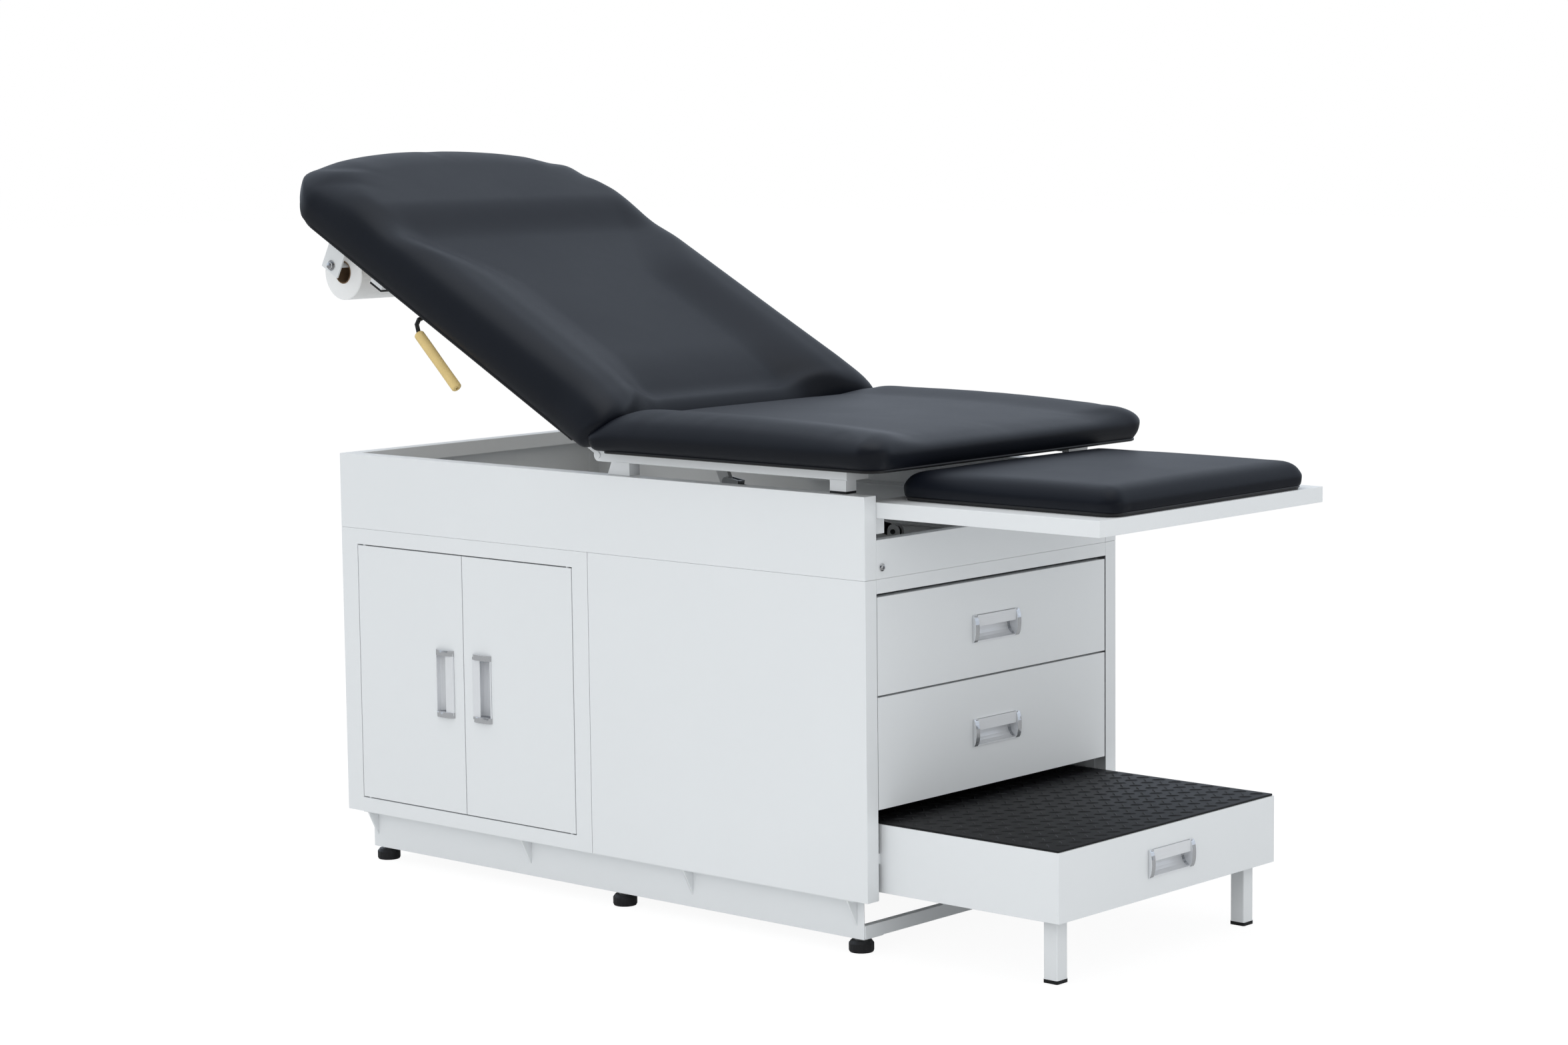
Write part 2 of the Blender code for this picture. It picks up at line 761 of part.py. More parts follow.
def deck_panel(owner, finish):
    """Top sheet of the case with the rail above the drawers and the bracket of the gas spring."""
    half = CLEAR_HALF - GAP
    low = (HEAD_X + SHEET + GAP, -half, DECK_Z - SHEET)
    made = piece("deck_panel", box("deck_panel", low, (FRONT_X - 2 * SHEET, half, DECK_Z)), owner, finish)
    foot = SEAM_Z - RAIL_HEIGHT
    back = FRONT_X - FOLD
    path = [(back, SEAM_Z), (FRONT_X, SEAM_Z), (FRONT_X, foot), (back, foot)]
    weld(made, "front_rail", extruded("front_rail", [strip(path, SHEET + 2 * GAP)], "Y", -half, half))
    x = FRONT_X - SPRING_FRONT[0]
    z = SPRING_FRONT[1]
    wide = 3 * SPRING_PIN
    for side in (-1, 1):
        outline = [(x + wide, DECK_Z - SHEET / 2), (x + wide, z)]
        outline += ring((x, z), wide, 10, 0.0, 180.0)[1:]
        outline += [(x - wide, DECK_Z - SHEET / 2)]
        inner = side * (ARM_THICKNESS / 2 + FORK_CLEAR)
        ends = sorted((inner, inner + side * FORK_PLATE))
        weld(made, f"bracket_{side}", extruded("bracket", [outline], "Y", *ends))
    reach = ARM_THICKNESS + FORK_PLATE + FORK_CLEAR
    cut(made, "bracket_hole", cylinder_between("hole", (x, -reach, z), (x, reach, z), SPRING_PIN + RUN))


def surround_wall(name, side, owner, finish):
    """Long wall of the upper surround, a pan whose flanges stand inwards."""
    low = (HEAD_X, min(side * CLEAR_HALF, side * HALF), SEAM_Z + GAP)
    high = (FRONT_X, max(side * CLEAR_HALF, side * HALF), RIM_Z)
    open_side = "+Y" if side < 0 else "-Y"
    thicken(piece(name, pan(name, low, high, open_side), owner, finish), SHEET)


def surround_head(owner, finish):
    half = CLEAR_HALF - GAP
    low = SEAM_Z + GAP
    inner = HEAD_X + FLANGE
    path = [(inner, low), (HEAD_X, low), (HEAD_X, RIM_Z), (inner, RIM_Z), (inner, RIM_Z - RIM_LIP)]
    piece("surround_head", extruded("surround_head", [strip(path, SHEET)], "Y", -half, half), owner, finish)


def surround_front(owner, finish):
    """Low front wall. The leg extension slides out above it."""
    half = CLEAR_HALF - GAP
    low = SEAM_Z + GAP
    inner = FRONT_X - FOLD
    path = [(inner, FRONT_WALL_TOP), (FRONT_X, FRONT_WALL_TOP), (FRONT_X, low), (inner, low)]
    shape = extruded("surround_front", [strip(path, SHEET)], "Y", -half, half)
    piece("surround_front", shape, owner, finish)


def channel(side, low, height, shelf, lip, start, end):
    """A bent guide that a runner slides in, open towards the middle of the case."""
    top = low + 2 * SHEET + GAP + height + RUN + SHOE_CLEAR
    wall = side * WALL_INNER
    path = [(side * lip, top), (wall, top), (wall, low), (side * shelf, low)]
    if side > 0:
        path = path[::-1]
    return extruded("channel", [strip(path[::-1], SHEET)], "X", start, end)


def runner_z(top):
    """Underside of a drawer's runner below the top of its front."""
    return top - RUNNER_DROP


def drawer_tops():
    return SEAM_Z - RAIL_HEIGHT - DRAWER_TOP_GAP, DRAWER_SPLIT - DRAWER_GAP / 2


def runner_frame(name, side, owner, finish):
    """Three guides on two uprights: two for the drawers and one for the step."""
    start = SEAM_X + FOLD + 2 * GAP
    end = FRONT_X - FOLD - GAP
    lip = RUNNER_HALF - 0.004
    shelf = lip - 0.004
    levels = [(runner_z(top) - GAP - SHEET, RUNNER_HEIGHT, shelf) for top in drawer_tops()]
    step_shelf = STEP_HALF_WIDTH + 0.002
    levels.append((STEP_RUNNER_Z - GAP - SHEET, STEP_RUNNER_HEIGHT, step_shelf))
    made = None
    for i, (low, height, reach) in enumerate(levels):
        shape = channel(side, low, height, reach, max(lip, reach), start, end)
        if made is None:
            made = piece(name, shape, owner, finish)
        else:
            weld(made, f"guide_{i}", shape)
    outer = side * WALL_INNER
    inner = outer - side * 1.6 * SHEET
    for x in (start + FOLD, end - 2 * FOLD):
        low = (x, min(inner, outer), levels[-1][0] + SHEET)
        high = (x + FOLD, max(inner, outer), levels[0][0] + RUNNER_HEIGHT)
        weld(made, f"upright_{x:.2f}", box("upright", low, high))


def leg_guide(name, side, owner, finish):
    """Guide of the leg extension on the inside of the surround."""
    wall = side * WALL_INNER
    inner = side * (CLEAR_HALF - TRAY_SIDE_GAP - ARM_WIDTH)
    lip = side * (CLEAR_HALF + 0.0035)
    path = [(inner, GUIDE_SHELF), (wall, GUIDE_SHELF), (wall, GUIDE_LIP), (lip, GUIDE_LIP)]
    if side > 0:
        path = path[::-1]
    shape = extruded(name, [strip(path, SHEET)], "X", FRONT_X - GUIDE_END, FRONT_X - FOLD)
    piece(name, shape, owner, finish)


def seat_rail(name, side, owner, finish):
    """Seat rail: a flat tube on two posts, with the two hinge ears of the backrest at its end."""
    outer = side * (HALF - SEAT_RAIL_INSET)
    inner = outer - side * SEAT_RAIL_WIDTH
    low = (min(outer, inner), SEAT_RAIL_BOTTOM)
    high = (max(outer, inner), RAIL_TOP)
    hole_low = (low[0] + RAIL_WALL, low[1] + RAIL_WALL)
    hole_high = (high[0] - RAIL_WALL, high[1] - RAIL_WALL)
    loops = [rounded(low, high, 0.003), rounded(hole_low, hole_high, 0.001)]
    start = FRONT_X - SEAT_RAIL_END
    made = piece(name, extruded(name, loops, "X", start, FRONT_X - SEAT_RAIL_START), owner, finish)
    front_end = FRONT_X - SEAT_RAIL_START
    cap = extruded("rail_cap", [rounded(low, high, 0.003)], "X", front_end - RAIL_WALL, front_end)
    weld(made, "cap", cap)
    post_side = outer - side * POST_WIDTH
    edges = (min(outer, post_side), max(outer, post_side))
    base = RIM_Z + GAP
    seat = SEAT_RAIL_BOTTOM + RAIL_WALL / 2
    front = [FRONT_X - POST_FRONT[1], FRONT_X - POST_FRONT[0]]
    weld(made, "front_post", box("post", (front[0], edges[0], base), (front[1], edges[1], seat)))
    rear = [FRONT_X - POST_REAR[1], FRONT_X - POST_REAR[0]]
    outline = [(rear[0], base), (rear[1], base), (rear[1], seat), (rear[0] + POST_REAR_TAPER, seat)]
    weld(made, "rear_post", extruded("post", [outline], "Y", *edges))
    round_end = ring((HINGE_X, HINGE_Z), SEAT_RAIL_HEIGHT / 2, 12, 90.0, 180.0)
    reach = start + FOLD
    outline = round_end + [(reach, SEAT_RAIL_BOTTOM), (reach, RAIL_TOP)]
    for label, edge, turn in (("outer_ear", outer, -side), ("inner_ear", inner, side)):
        other = edge + turn * EAR_THICKNESS
        weld(made, label, extruded("ear", [outline], "Y", min(edge, other), max(edge, other)))
    ends = (HINGE_X, min(low[0], high[0]) - FOLD, HINGE_Z), (HINGE_X, max(low[0], high[0]) + FOLD, HINGE_Z)
    cut(made, "hinge_hole", cylinder_between("hinge", ends[0], ends[1], HINGE_PIN + RUN))


def seat_cross_tube(owner, finish):
    """Tube that ties the seat rails at the back, behind the stowed leg extension."""
    half = HALF - SEAT_RAIL_INSET - SEAT_RAIL_WIDTH - GAP
    low = (FRONT_X - SEAT_RAIL_END + 2 * FOLD, SEAT_RAIL_BOTTOM)
    high = (low[0] + CROSS_WIDTH, RAIL_TOP)
    inset = (low[0] + RAIL_WALL, low[1] + RAIL_WALL), (high[0] - RAIL_WALL, high[1] - RAIL_WALL)
    loops = [rounded(low, high, 0.003), rounded(*inset, 0.001)]
    piece("seat_cross_tube", extruded("seat_cross_tube", loops, "Y", -half, half), owner, finish)


def seat_board(owner, finish):
    low = (FRONT_X - SEAT_REAR + BOARD_INSET, -PAD_HALF_WIDTH + BOARD_INSET)
    high = (FRONT_X + SEAT_FRONT - BOARD_INSET, PAD_HALF_WIDTH - BOARD_INSET)
    outline = rounded(low, high, PAD_CORNER - BOARD_INSET)
    piece("seat_board", extruded("seat_board", [outline], "Z", PAD_BASE, PAD_BASE + BOARD), owner, finish)


def seat_pad(owner, finish):
    """Seat cushion: side bolsters, a lower middle, a front that rolls over, and a recess for its board."""
    low = FRONT_X - SEAT_REAR
    high = FRONT_X + SEAT_FRONT
    rim = PAD_BASE + 0.45 * (SEAT_TOP - PAD_BASE)
    half = PAD_HALF_WIDTH - PAD_BULGE
    inner = PAD_HALF_WIDTH - BOLSTER_WIDTH

    def top(x, y):
        side = smooth(inner - 0.03, inner + 0.03, abs(y))
        level = SEAT_TOP - SEAT_DIP * (1.0 - side) - 0.016 * smooth(high - 0.14, high, x)
        away = min(x - low - PAD_BULGE, high - PAD_BULGE - x, half - abs(y))
        return rim + (level - rim) * edge_round(away, PAD_EDGE)

    def lean(x, z):
        return SEAT_LEAN * (z - PAD_BASE) * (1.0 - smooth(low, low + 0.12, x))

    height = rim - PAD_BASE
    skirts = pad_skirts(PAD_BASE, height)
    plan = rounded_plan(low + PAD_BULGE, high - PAD_BULGE, half, PAD_CORNER - PAD_BULGE)
    made = piece("seat_pad", cushion("seat_pad", plan, top, skirts, lean, (22, 22)), owner, finish)
    edge = BOARD_INSET - BOARD_CLEAR
    corner_low = (low + edge, -PAD_HALF_WIDTH + edge)
    corner_high = (high - edge, PAD_HALF_WIDTH - edge)
    outline = rounded(corner_low, corner_high, PAD_CORNER - edge)
    cut(made, "recess", extruded("recess", [outline], "Z", PAD_BASE - BOARD, PAD_BASE + BOARD + GAP))


def pull_section():
    """Section of the pull's body: flap, scoop behind it and thin lower lip, as a bent sheet."""
    half = PULL_HEIGHT / 2 - PULL_LIP
    flap = PULL_HEIGHT / 2 - PULL_FLAP_SHARE * PULL_HEIGHT
    path = [(flap, PULL_PROUD), (half, PULL_PROUD), (half, -PULL_LIP)]
    for x, y in ring((0.0, 0.0), 1.0, 10, 0.0, -180.0)[1:-1]:
        path.append((x * half, y * (PULL_DEPTH - PULL_LIP) - PULL_LIP))
    path += [(-half, -PULL_LIP), (-half, 0.6 * PULL_PROUD)]
    return strip(path, PULL_WALL)


def pull_cap_section():
    """Section of a bowed end cap that lies on the front."""
    half = PULL_HEIGHT / 2
    arc = ring((0.0, 0.0), 1.0, 10, 0.0, 180.0)
    return [(x * half, GAP + y * PULL_BOW) for x, y in arc]


def pull_cheek_section():
    """Section of the cheek that closes the scoop under an end cap."""
    half = PULL_HEIGHT / 2 - PULL_LIP - PULL_WALL / 2
    arc = ring((0.0, 0.0), 1.0, 10, 0.0, -180.0)
    behind = [(x * half, y * (PULL_DEPTH - PULL_WALL / 2)) for x, y in arc]
    return [(half, PULL_BOW / 3)] + behind + [(-half, PULL_BOW / 3)]


def pull_mesh():
    """Recessed pull: a scoop behind a flap, between two bowed end caps. Length along X, flap towards +Y."""
    end = PULL_LENGTH / 2
    reach = end - PULL_CAP / 2
    made = bpy.data.objects.new("pull_form", extruded("pull_form", [pull_section()], "X", -reach, reach))
    group_of("cutters").objects.link(made)
    for side in (-1, 1):
        cap = sorted((side * (end - PULL_CAP), side * end))
        cheek = sorted((side * (end - 0.65 * PULL_CAP), side * (end - 0.3 * PULL_CAP)))
        pull_end(made, f"cap_{side}", extruded("cap", [pull_cap_section()], "X", *cap))
        pull_end(made, f"cheek_{side}", extruded("cheek", [pull_cheek_section()], "X", *cheek))
    bpy.context.view_layer.update()
    shaped = made.evaluated_get(bpy.context.evaluated_depsgraph_get())
    mesh = bpy.data.meshes.new_from_object(shaped)
    for item in [made] + [step.object for step in made.modifiers]:
        bpy.data.objects.remove(item)
    return mesh


def pull_end(form, label, mesh):
    """Welds a cap or a cheek to the pull."""
    tool = bpy.data.objects.new("pull_" + label, mesh)
    group_of("cutters").objects.link(tool)
    step = form.modifiers.new(label, "BOOLEAN")
    step.operation = "UNION"
    step.solver = "EXACT"
    step.object = tool


def pull(name, form, owner, finish, at, turn):
    """Sets a pull into a front."""
    mesh = form.copy()
    made = bpy.data.objects.new(name, mesh)
    group_of("examination_table_with_cabinet").objects.link(made)
    made.parent = owner
    made.location = Vector(at) - zero_of(owner)
    made.rotation_euler = turn
    mesh.materials.append(finish)


def pull_hole(at, along, out):
    """Cut-out of a front behind a pull, longer side along one axis, through the front along another."""
    half = [PULL_HEIGHT / 2 - PULL_MARGIN] * 3
    half["XYZ".index(along)] = PULL_LENGTH / 2 - 0.002
    half["XYZ".index(out)] = PULL_DEPTH * 2
    return box("pull_hole", [a - b for a, b in zip(at, half)], [a + b for a, b in zip(at, half)])


def door(name, side, form, parent, finish, metal):
    """One leaf of the double door. It swings on two pins in the jamb at its outer edge."""
    edge = DOOR_X0 + DOOR_GAP if side < 0 else DOOR_X1 - DOOR_GAP
    meeting = DOOR_SPLIT + side * DOOR_GAP / 2
    axis = (edge - side * PIVOT_IN, -HALF + PIVOT_BACK, (DOOR_SILL + DOOR_LINTEL) / 2)
    owner = body(name + "_axis", axis, parent)
    low = (min(edge, meeting), -HALF, DOOR_SILL + DOOR_GAP)
    high = (max(edge, meeting), -HALF + DOOR_DEPTH, DOOR_LINTEL - DOOR_GAP)
    made = thicken(piece(name, pan(name, low, high, "+Y"), owner, finish), SHEET)
    for label, start, end in (
        ("top_pin", high[2] - 4 * SHEET, DOOR_LINTEL + 1.5 * SHEET),
        ("bottom_pin", DOOR_SILL - 1.5 * SHEET, low[2] + 4 * SHEET),
    ):
        ends = (axis[0], axis[1], start), (axis[0], axis[1], end)
        weld(made, label, cylinder_between("pin", *ends, PIVOT_RADIUS, 24))
    at = (DOOR_SPLIT + side * DOOR_PULL_FROM_SPLIT, -HALF, DOOR_PULL_Z)
    cut(made, "pull_hole", pull_hole(at, "Z", "Y"))
    turn = (math.radians(90), math.radians(-90) * side, 0.0)
    pull(name + "_pull", form, owner, metal, at, turn)


def drawer(name, low_z, top_z, form, parent, finish, metal):
    """Drawer: hollow front, open tray behind it, a runner on each side, and a pull."""
    face = FRONT_X - DRAWER_INSET
    owner = body(name + "_slide", (face, 0.0, (low_z + top_z) / 2), parent)
    half = CLEAR_HALF - DRAWER_SIDE_GAP
    back = face - DRAWER_FRONT_DEPTH
    front = pan(name, (back, -half, low_z), (face, half, top_z), "-X")
    made = thicken(piece(name, front, owner, finish), SHEET)
    lining_low = (back, -half + SHEET / 2, low_z + SHEET / 2)
    lining_high = (back + SHEET, half - SHEET / 2, top_z - SHEET / 2)
    weld(made, "lining", box("lining", lining_low, lining_high))
    tray_half = CLEAR_HALF - TRAY_SIDE_INSET
    tray_low = (back - TRAY_DEPTH, -tray_half, low_z + TRAY_ABOVE)
    tray_high = (back + SHEET / 2, tray_half, top_z - TRAY_BELOW)
    weld(made, "tray", pan("tray", tray_low, tray_high, "+Z"), SHEET)
    under = runner_z(top_z)
    for side in (-1, 1):
        ends = sorted((side * (tray_half - SHEET / 2), side * RUNNER_HALF))
        runner_low = (tray_low[0], ends[0], under)
        runner_high = (back - GAP, ends[1], under + RUNNER_HEIGHT)
        weld(made, f"runner_{side}", box("runner", runner_low, runner_high))
    at = (face, 0.0, (low_z + top_z) / 2)
    cut(made, "pull_hole", pull_hole(at, "Y", "X"))
    pull(name + "_pull", form, owner, metal, at, (math.radians(90), 0.0, math.radians(90)))


def step_unit(form, parent, finish, metal, black):
    """Pull-out step: folded box on two legs, tread mat, runners in the case and a pull."""
    owner = body("step_slide", (STEP_FRONT, 0.0, STEP_BOTTOM), parent)
    rear = STEP_FRONT - STEP_DEPTH
    low = (rear, -STEP_HALF_WIDTH, STEP_BOTTOM)
    high = (STEP_FRONT, STEP_HALF_WIDTH, STEP_TOP)
    made = thicken(piece("step_box", pan("step_box", low, high, "-Z"), owner, finish), SHEET)
    for side in (-1, 1):
        ends = (side * (STEP_HALF_WIDTH - SHEET / 2), side * RUNNER_HALF)
        start = (rear + 0.005, min(ends), STEP_RUNNER_Z)
        end = (FRONT_X - 0.005, max(ends), STEP_RUNNER_Z + STEP_RUNNER_HEIGHT)
        weld(made, f"runner_{side}", box("runner", start, end))
    at = (STEP_FRONT, 0.0, STEP_PULL_Z)
    cut(made, "pull_hole", pull_hole(at, "Y", "X"))
    pull("step_pull", form, owner, metal, at, (math.radians(90), 0.0, math.radians(90)))
    corner_low = (rear + MAT_INSET, -STEP_HALF_WIDTH + MAT_INSET)
    corner_high = (STEP_FRONT - MAT_INSET, STEP_HALF_WIDTH - MAT_INSET)
    outline = rounded(corner_low, corner_high, 0.004)
    mat = extruded("step_mat", [outline], "Z", STEP_TOP + GAP, STEP_TOP + MAT_THICKNESS)
    piece("step_mat", mat, owner, black)
    for label, side in (("near", -1), ("far", 1)):
        step_leg("step_leg_" + label, side, owner, finish)


def step_leg(name, side, owner, finish):
    """Square tube leg in a boot."""
    front = STEP_FRONT - LEG_INSET
    outer = side * (STEP_HALF_WIDTH - LEG_INSET - 0.003)
    inner = outer - side * LEG_SIZE
    low = (front - LEG_SIZE, min(outer, inner))
    high = (front, max(outer, inner))
    top = STEP_TOP - SHEET - GAP
    outline = rounded(low, high, 0.002)
    made = piece(name, extruded(name, [outline], "Z", LEG_CLEAR + 0.004, top), owner, finish)
    boot_low = (low[0] - LEG_BOOT, low[1] - LEG_BOOT)
    boot_high = (high[0] + LEG_BOOT, high[1] + LEG_BOOT)
    outline = rounded(boot_low, boot_high, 0.003)
    boot = extruded("boot", [outline], "Z", LEG_CLEAR, LEG_CLEAR + LEG_BOOT_HEIGHT)
    weld(made, "boot", boot)


def back_rail(name, side, owner, finish):
    """Side rail of the backrest: tube with a knuckle and pin on the hinge, and a stop post near its end."""
    outer = side * (HALF - BACK_RAIL_INSET)
    inner = outer - side * BACK_RAIL_WIDTH
    edges = (min(outer, inner), max(outer, inner))
    half = SEAT_RAIL_HEIGHT / 2
    low = (edges[0], -half)
    high = (edges[1], half)
    inset = (low[0] + RAIL_WALL, low[1] + RAIL_WALL), (high[0] - RAIL_WALL, high[1] - RAIL_WALL)
    loops = [rounded(low, high, 0.003), rounded(*inset, 0.001)]
    made = piece(name, extruded(name, loops, "X", -BACK_RAIL_LENGTH, -half / 2), owner, finish)
    hinge_bar(made, "knuckle", edges, half - RUN)
    seat_outer = HALF - SEAT_RAIL_INSET
    reach = (seat_outer + PIN_PROUD, seat_outer - SEAT_RAIL_WIDTH - PIN_PROUD)
    hinge_bar(made, "pin", sorted(side * place for place in reach), HINGE_PIN)
    stop = RIM_Z + GAP - HINGE_Z
    bumper_low = (-BUMPER_AT - BUMPER_LENGTH, edges[0] + 0.002, stop)
    bumper_high = (-BUMPER_AT, edges[1] - 0.002, -half + RAIL_WALL / 2)
    weld(made, "stop_post", box("stop_post", bumper_low, bumper_high))
    if side < 0:
        lever_hole(made)


def hinge_bar(rail, label, ends, radius):
    """Round part of a backrest rail on the hinge line."""
    weld(rail, label, cylinder_between(label, (0.0, ends[0], 0.0), (0.0, ends[1], 0.0), radius, 24))


def lever_hole(rail):
    """Hole through the near rail for the lever's shaft."""
    outer = -(HALF - BACK_RAIL_INSET)
    along, depth = LEVER_AXIS
    through = (-along, outer - FOLD, depth), (-along, outer + BACK_RAIL_WIDTH + FOLD, depth)
    cut(rail, "lever_hole", cylinder_between("lever_hole", *through, LEVER_ROD + RUN))


def back_cross(name, along, owner, finish):
    half = HALF - BACK_RAIL_INSET - BACK_RAIL_WIDTH - GAP
    low = (-along - CROSS_WIDTH / 2, -SEAT_RAIL_HEIGHT / 2)
    high = (-along + CROSS_WIDTH / 2, SEAT_RAIL_HEIGHT / 2)
    inset = (low[0] + RAIL_WALL, low[1] + RAIL_WALL), (high[0] - RAIL_WALL, high[1] - RAIL_WALL)
    loops = [rounded(low, high, 0.003), rounded(*inset, 0.001)]
    return piece(name, extruded(name, loops, "Y", -half, half), owner, finish)


def arm_point():
    """Pivot of the gas spring on the backrest, in the backrest's own frame."""
    angle = math.radians(ARM_MIDDLE_TILT)
    return ARM_RADIUS * math.sin(angle), -ARM_RADIUS * math.cos(angle)


def torque_arm(cross):
    """Plate on the lower cross tube that the gas spring pushes on."""
    end = Vector(arm_point())
    root = Vector((-CROSS_LOWER, 0.0))
    along = (end - root).normalized()
    square = Vector((along.y, -along.x))
    outline = [root - square * ARM_END, root + square * ARM_END, end + square * ARM_END]
    turn = math.degrees(math.atan2(square.y, square.x))
    outline += [Vector(place) for place in ring(end, ARM_END, 12, turn, 180.0)[1:-1]]
    outline.append(end - square * ARM_END)
    half = ARM_THICKNESS / 2
    weld(cross, "torque_arm", extruded("torque_arm", [outline], "Y", -half, half))


def head_edge(y, half, straight, length):
    """How far up the backrest its rounded head end reaches at a distance from the middle."""
    share = min(abs(y) / half, 1.0)
    return straight + (length - straight) * (1.0 - share**BACK_HEAD_POWER) ** (1.0 / BACK_HEAD_POWER)


def back_outline(inset, steps=24):
    """Outline of the backrest, drawn in by an even margin."""
    half = PAD_HALF_WIDTH - inset
    start = BACK_START + inset
    corner = PAD_CORNER - min(inset, PAD_CORNER / 2)
    lower = ring((start + corner, half - corner), corner, 5, 90.0, 90.0)
    lower += ring((start + corner, -half + corner), corner, 5, 180.0, 90.0)
    points = [(-place[0], place[1]) for place in lower]
    for i in range(steps + 1):
        y = -half * math.cos(math.pi * i / steps)
        points.append((-head_edge(y, half, BACK_STRAIGHT, BACK_LENGTH - inset), y))
    return points


def back_board(owner, finish):
    shape = extruded("backrest_board", [back_outline(BOARD_INSET)], "Z", LOCAL_BASE, LOCAL_BASE + BOARD)
    piece("backrest_board", shape, owner, finish)


def back_plan(u, v):
    """Plan of the backrest pad: straight sides, rounded lower corners and a rounded head."""
    half = PAD_HALF_WIDTH - PAD_BULGE
    start = BACK_START + PAD_BULGE
    y = spread(v) * half
    along = (1.0 - math.cos(math.pi * (u + 1.0) / 2.0)) / 2.0
    end = head_edge(y, half, BACK_STRAIGHT, BACK_LENGTH - PAD_BULGE)
    s = start + along * (end - start)
    radius = PAD_CORNER - PAD_BULGE
    inner_s = max(s, start + radius)
    inner_y = min(max(y, radius - half), half - radius)
    down, across = round_corner(inner_s - s, abs(y - inner_y), radius)
    return -(inner_s - down), inner_y + math.copysign(across, y)


def back_top(x, y):
    """Top of the backrest pad: bolsters that run out to the edge, a lower panel and a head pillow."""
    s = -x
    half = PAD_HALF_WIDTH - PAD_BULGE
    rim = LOCAL_BASE + 0.42 * (BACK_TOP - LOCAL_BASE)
    inner = PAD_HALF_WIDTH - BOLSTER_WIDTH + 0.1 * smooth(0.38, 0.6, s)
    side = smooth(inner - 0.06, inner + 0.035, abs(y))
    roll = 0.3 * (1.0 - smooth(0.07, 0.13, s))
    raised = 1.0 - (1.0 - side) * (1.0 - roll)
    level = BACK_PANEL + (BACK_TOP - BACK_PANEL) * raised
    level += (BACK_PILLOW - level) * smooth(PILLOW_FROM, PILLOW_TO, s)
    end = head_edge(y, half, BACK_STRAIGHT, BACK_LENGTH - PAD_BULGE)
    away = min(half - abs(y), s - BACK_START - PAD_BULGE, (end - s) * 0.8)
    return rim + (level - rim) * edge_round(away, PAD_EDGE)


def back_lean(x, z):
    """The lower end slopes back so that it clears the seat when the backrest is raised."""
    return -BACK_LEAN * (z - LOCAL_BASE) * (1.0 - smooth(BACK_START, BACK_START + 0.16, -x))


def back_pad(owner, finish):
    rim = LOCAL_BASE + 0.42 * (BACK_TOP - LOCAL_BASE)
    height = rim - LOCAL_BASE
    skirts = pad_skirts(LOCAL_BASE, height)
    shape = cushion("backrest_pad", back_plan, back_top, skirts, back_lean, (30, 22))
    made = piece("backrest_pad", shape, owner, finish)
    outline = back_outline(BOARD_INSET - BOARD_CLEAR)
    recess = extruded("recess", [outline], "Z", LOCAL_BASE - BOARD, LOCAL_BASE + BOARD + GAP)
    cut(made, "recess", recess)


def roll_bracket(name, side, owner, finish):
    """Bracket under the head of the backrest. The near one carries the rod, the far one its hole."""
    along, depth = ROLL_ROD_AT
    outer = side * BRACKET_HALF
    top = LOCAL_BASE - GAP
    path = [(outer - side * BRACKET_FLANGE, top), (outer, top), (outer, -BRACKET_BELOW)]
    if side > 0:
        path = path[::-1]
    half = BRACKET_WIDTH / 2
    shape = extruded(name, [strip(path[::-1], 2 * SHEET)], "X", -along - half, -along + half)
    made = piece(name, shape, owner, finish)
    if side < 0:
        start = (-along, outer + SHEET, depth)
        end = (-along, -outer + 2 * SHEET, depth)
        weld(made, "rod", cylinder_between("rod", start, end, ROLL_ROD, 24))
    else:
        start = (-along, outer - BRACKET_FLANGE, depth)
        end = (-along, outer + BRACKET_FLANGE, depth)
        cut(made, "rod_hole", cylinder_between("rod_hole", start, end, ROLL_ROD + GAP))


def roll_centre():
    """The roll hangs on its rod, so its own axis lies straight below the rod by the play in its core."""
    play = CORE_RADIUS - ROLL_ROD - GAP
    return ROLL_ROD_AT[0] - play * math.sin(TILT), ROLL_ROD_AT[1] - play * math.cos(TILT)


def paper_roll(parent, finish):
    along, depth = roll_centre()
    owner = body("paper_roll_axis", (-along, 0.0, depth), parent)
    half = ROLL_LENGTH / 2
    profile = [
        (CORE_RADIUS, half),
        (ROLL_RADIUS, half),
        (ROLL_RADIUS, -half),
        (CORE_RADIUS, -half),
        (CORE_RADIUS, half),
    ]
    turned("paper_roll", profile, owner, finish, (-along, 0.0, depth), 48, (math.radians(90), 0.0, 0.0))


def release_lever(parent, finish, grip_finish):
    """Bent rod under the near edge of the backrest, with a soft grip on its free end."""
    along, depth = LEVER_AXIS
    owner = body("lever_axis", (-along, -LEVER_SIDE, depth), parent)
    near = -LEVER_SIDE
    bend = 3 * LEVER_ROD
    start = Vector((-GRIP_START[0], near, GRIP_START[1]))
    end = Vector((-GRIP_END[0], near, GRIP_END[1]))
    core = start.lerp(end, 0.9)
    points = [
        (-along, -LEVER_SHAFT_END, depth),
        (-along, near + bend, depth),
        (-along + 0.05 * bend, near + 0.3 * bend, depth - 0.25 * bend),
        (-along + 0.25 * bend, near, depth - 0.9 * bend),
        tuple(start),
        tuple(core),
    ]
    piece("release_lever", bent_rod("release_lever", points, LEVER_ROD), owner, finish)
    shape = cylinder_between("lever_grip", start, end, GRIP_RADIUS, 24)
    grip = piece("lever_grip", shape, owner, grip_finish)
    reach = (core - start).normalized()
    mouth = start - reach * GRIP_RADIUS
    cut(grip, "bore", cylinder_between("bore", mouth, core + reach * GAP, LEVER_ROD + GAP, 24))


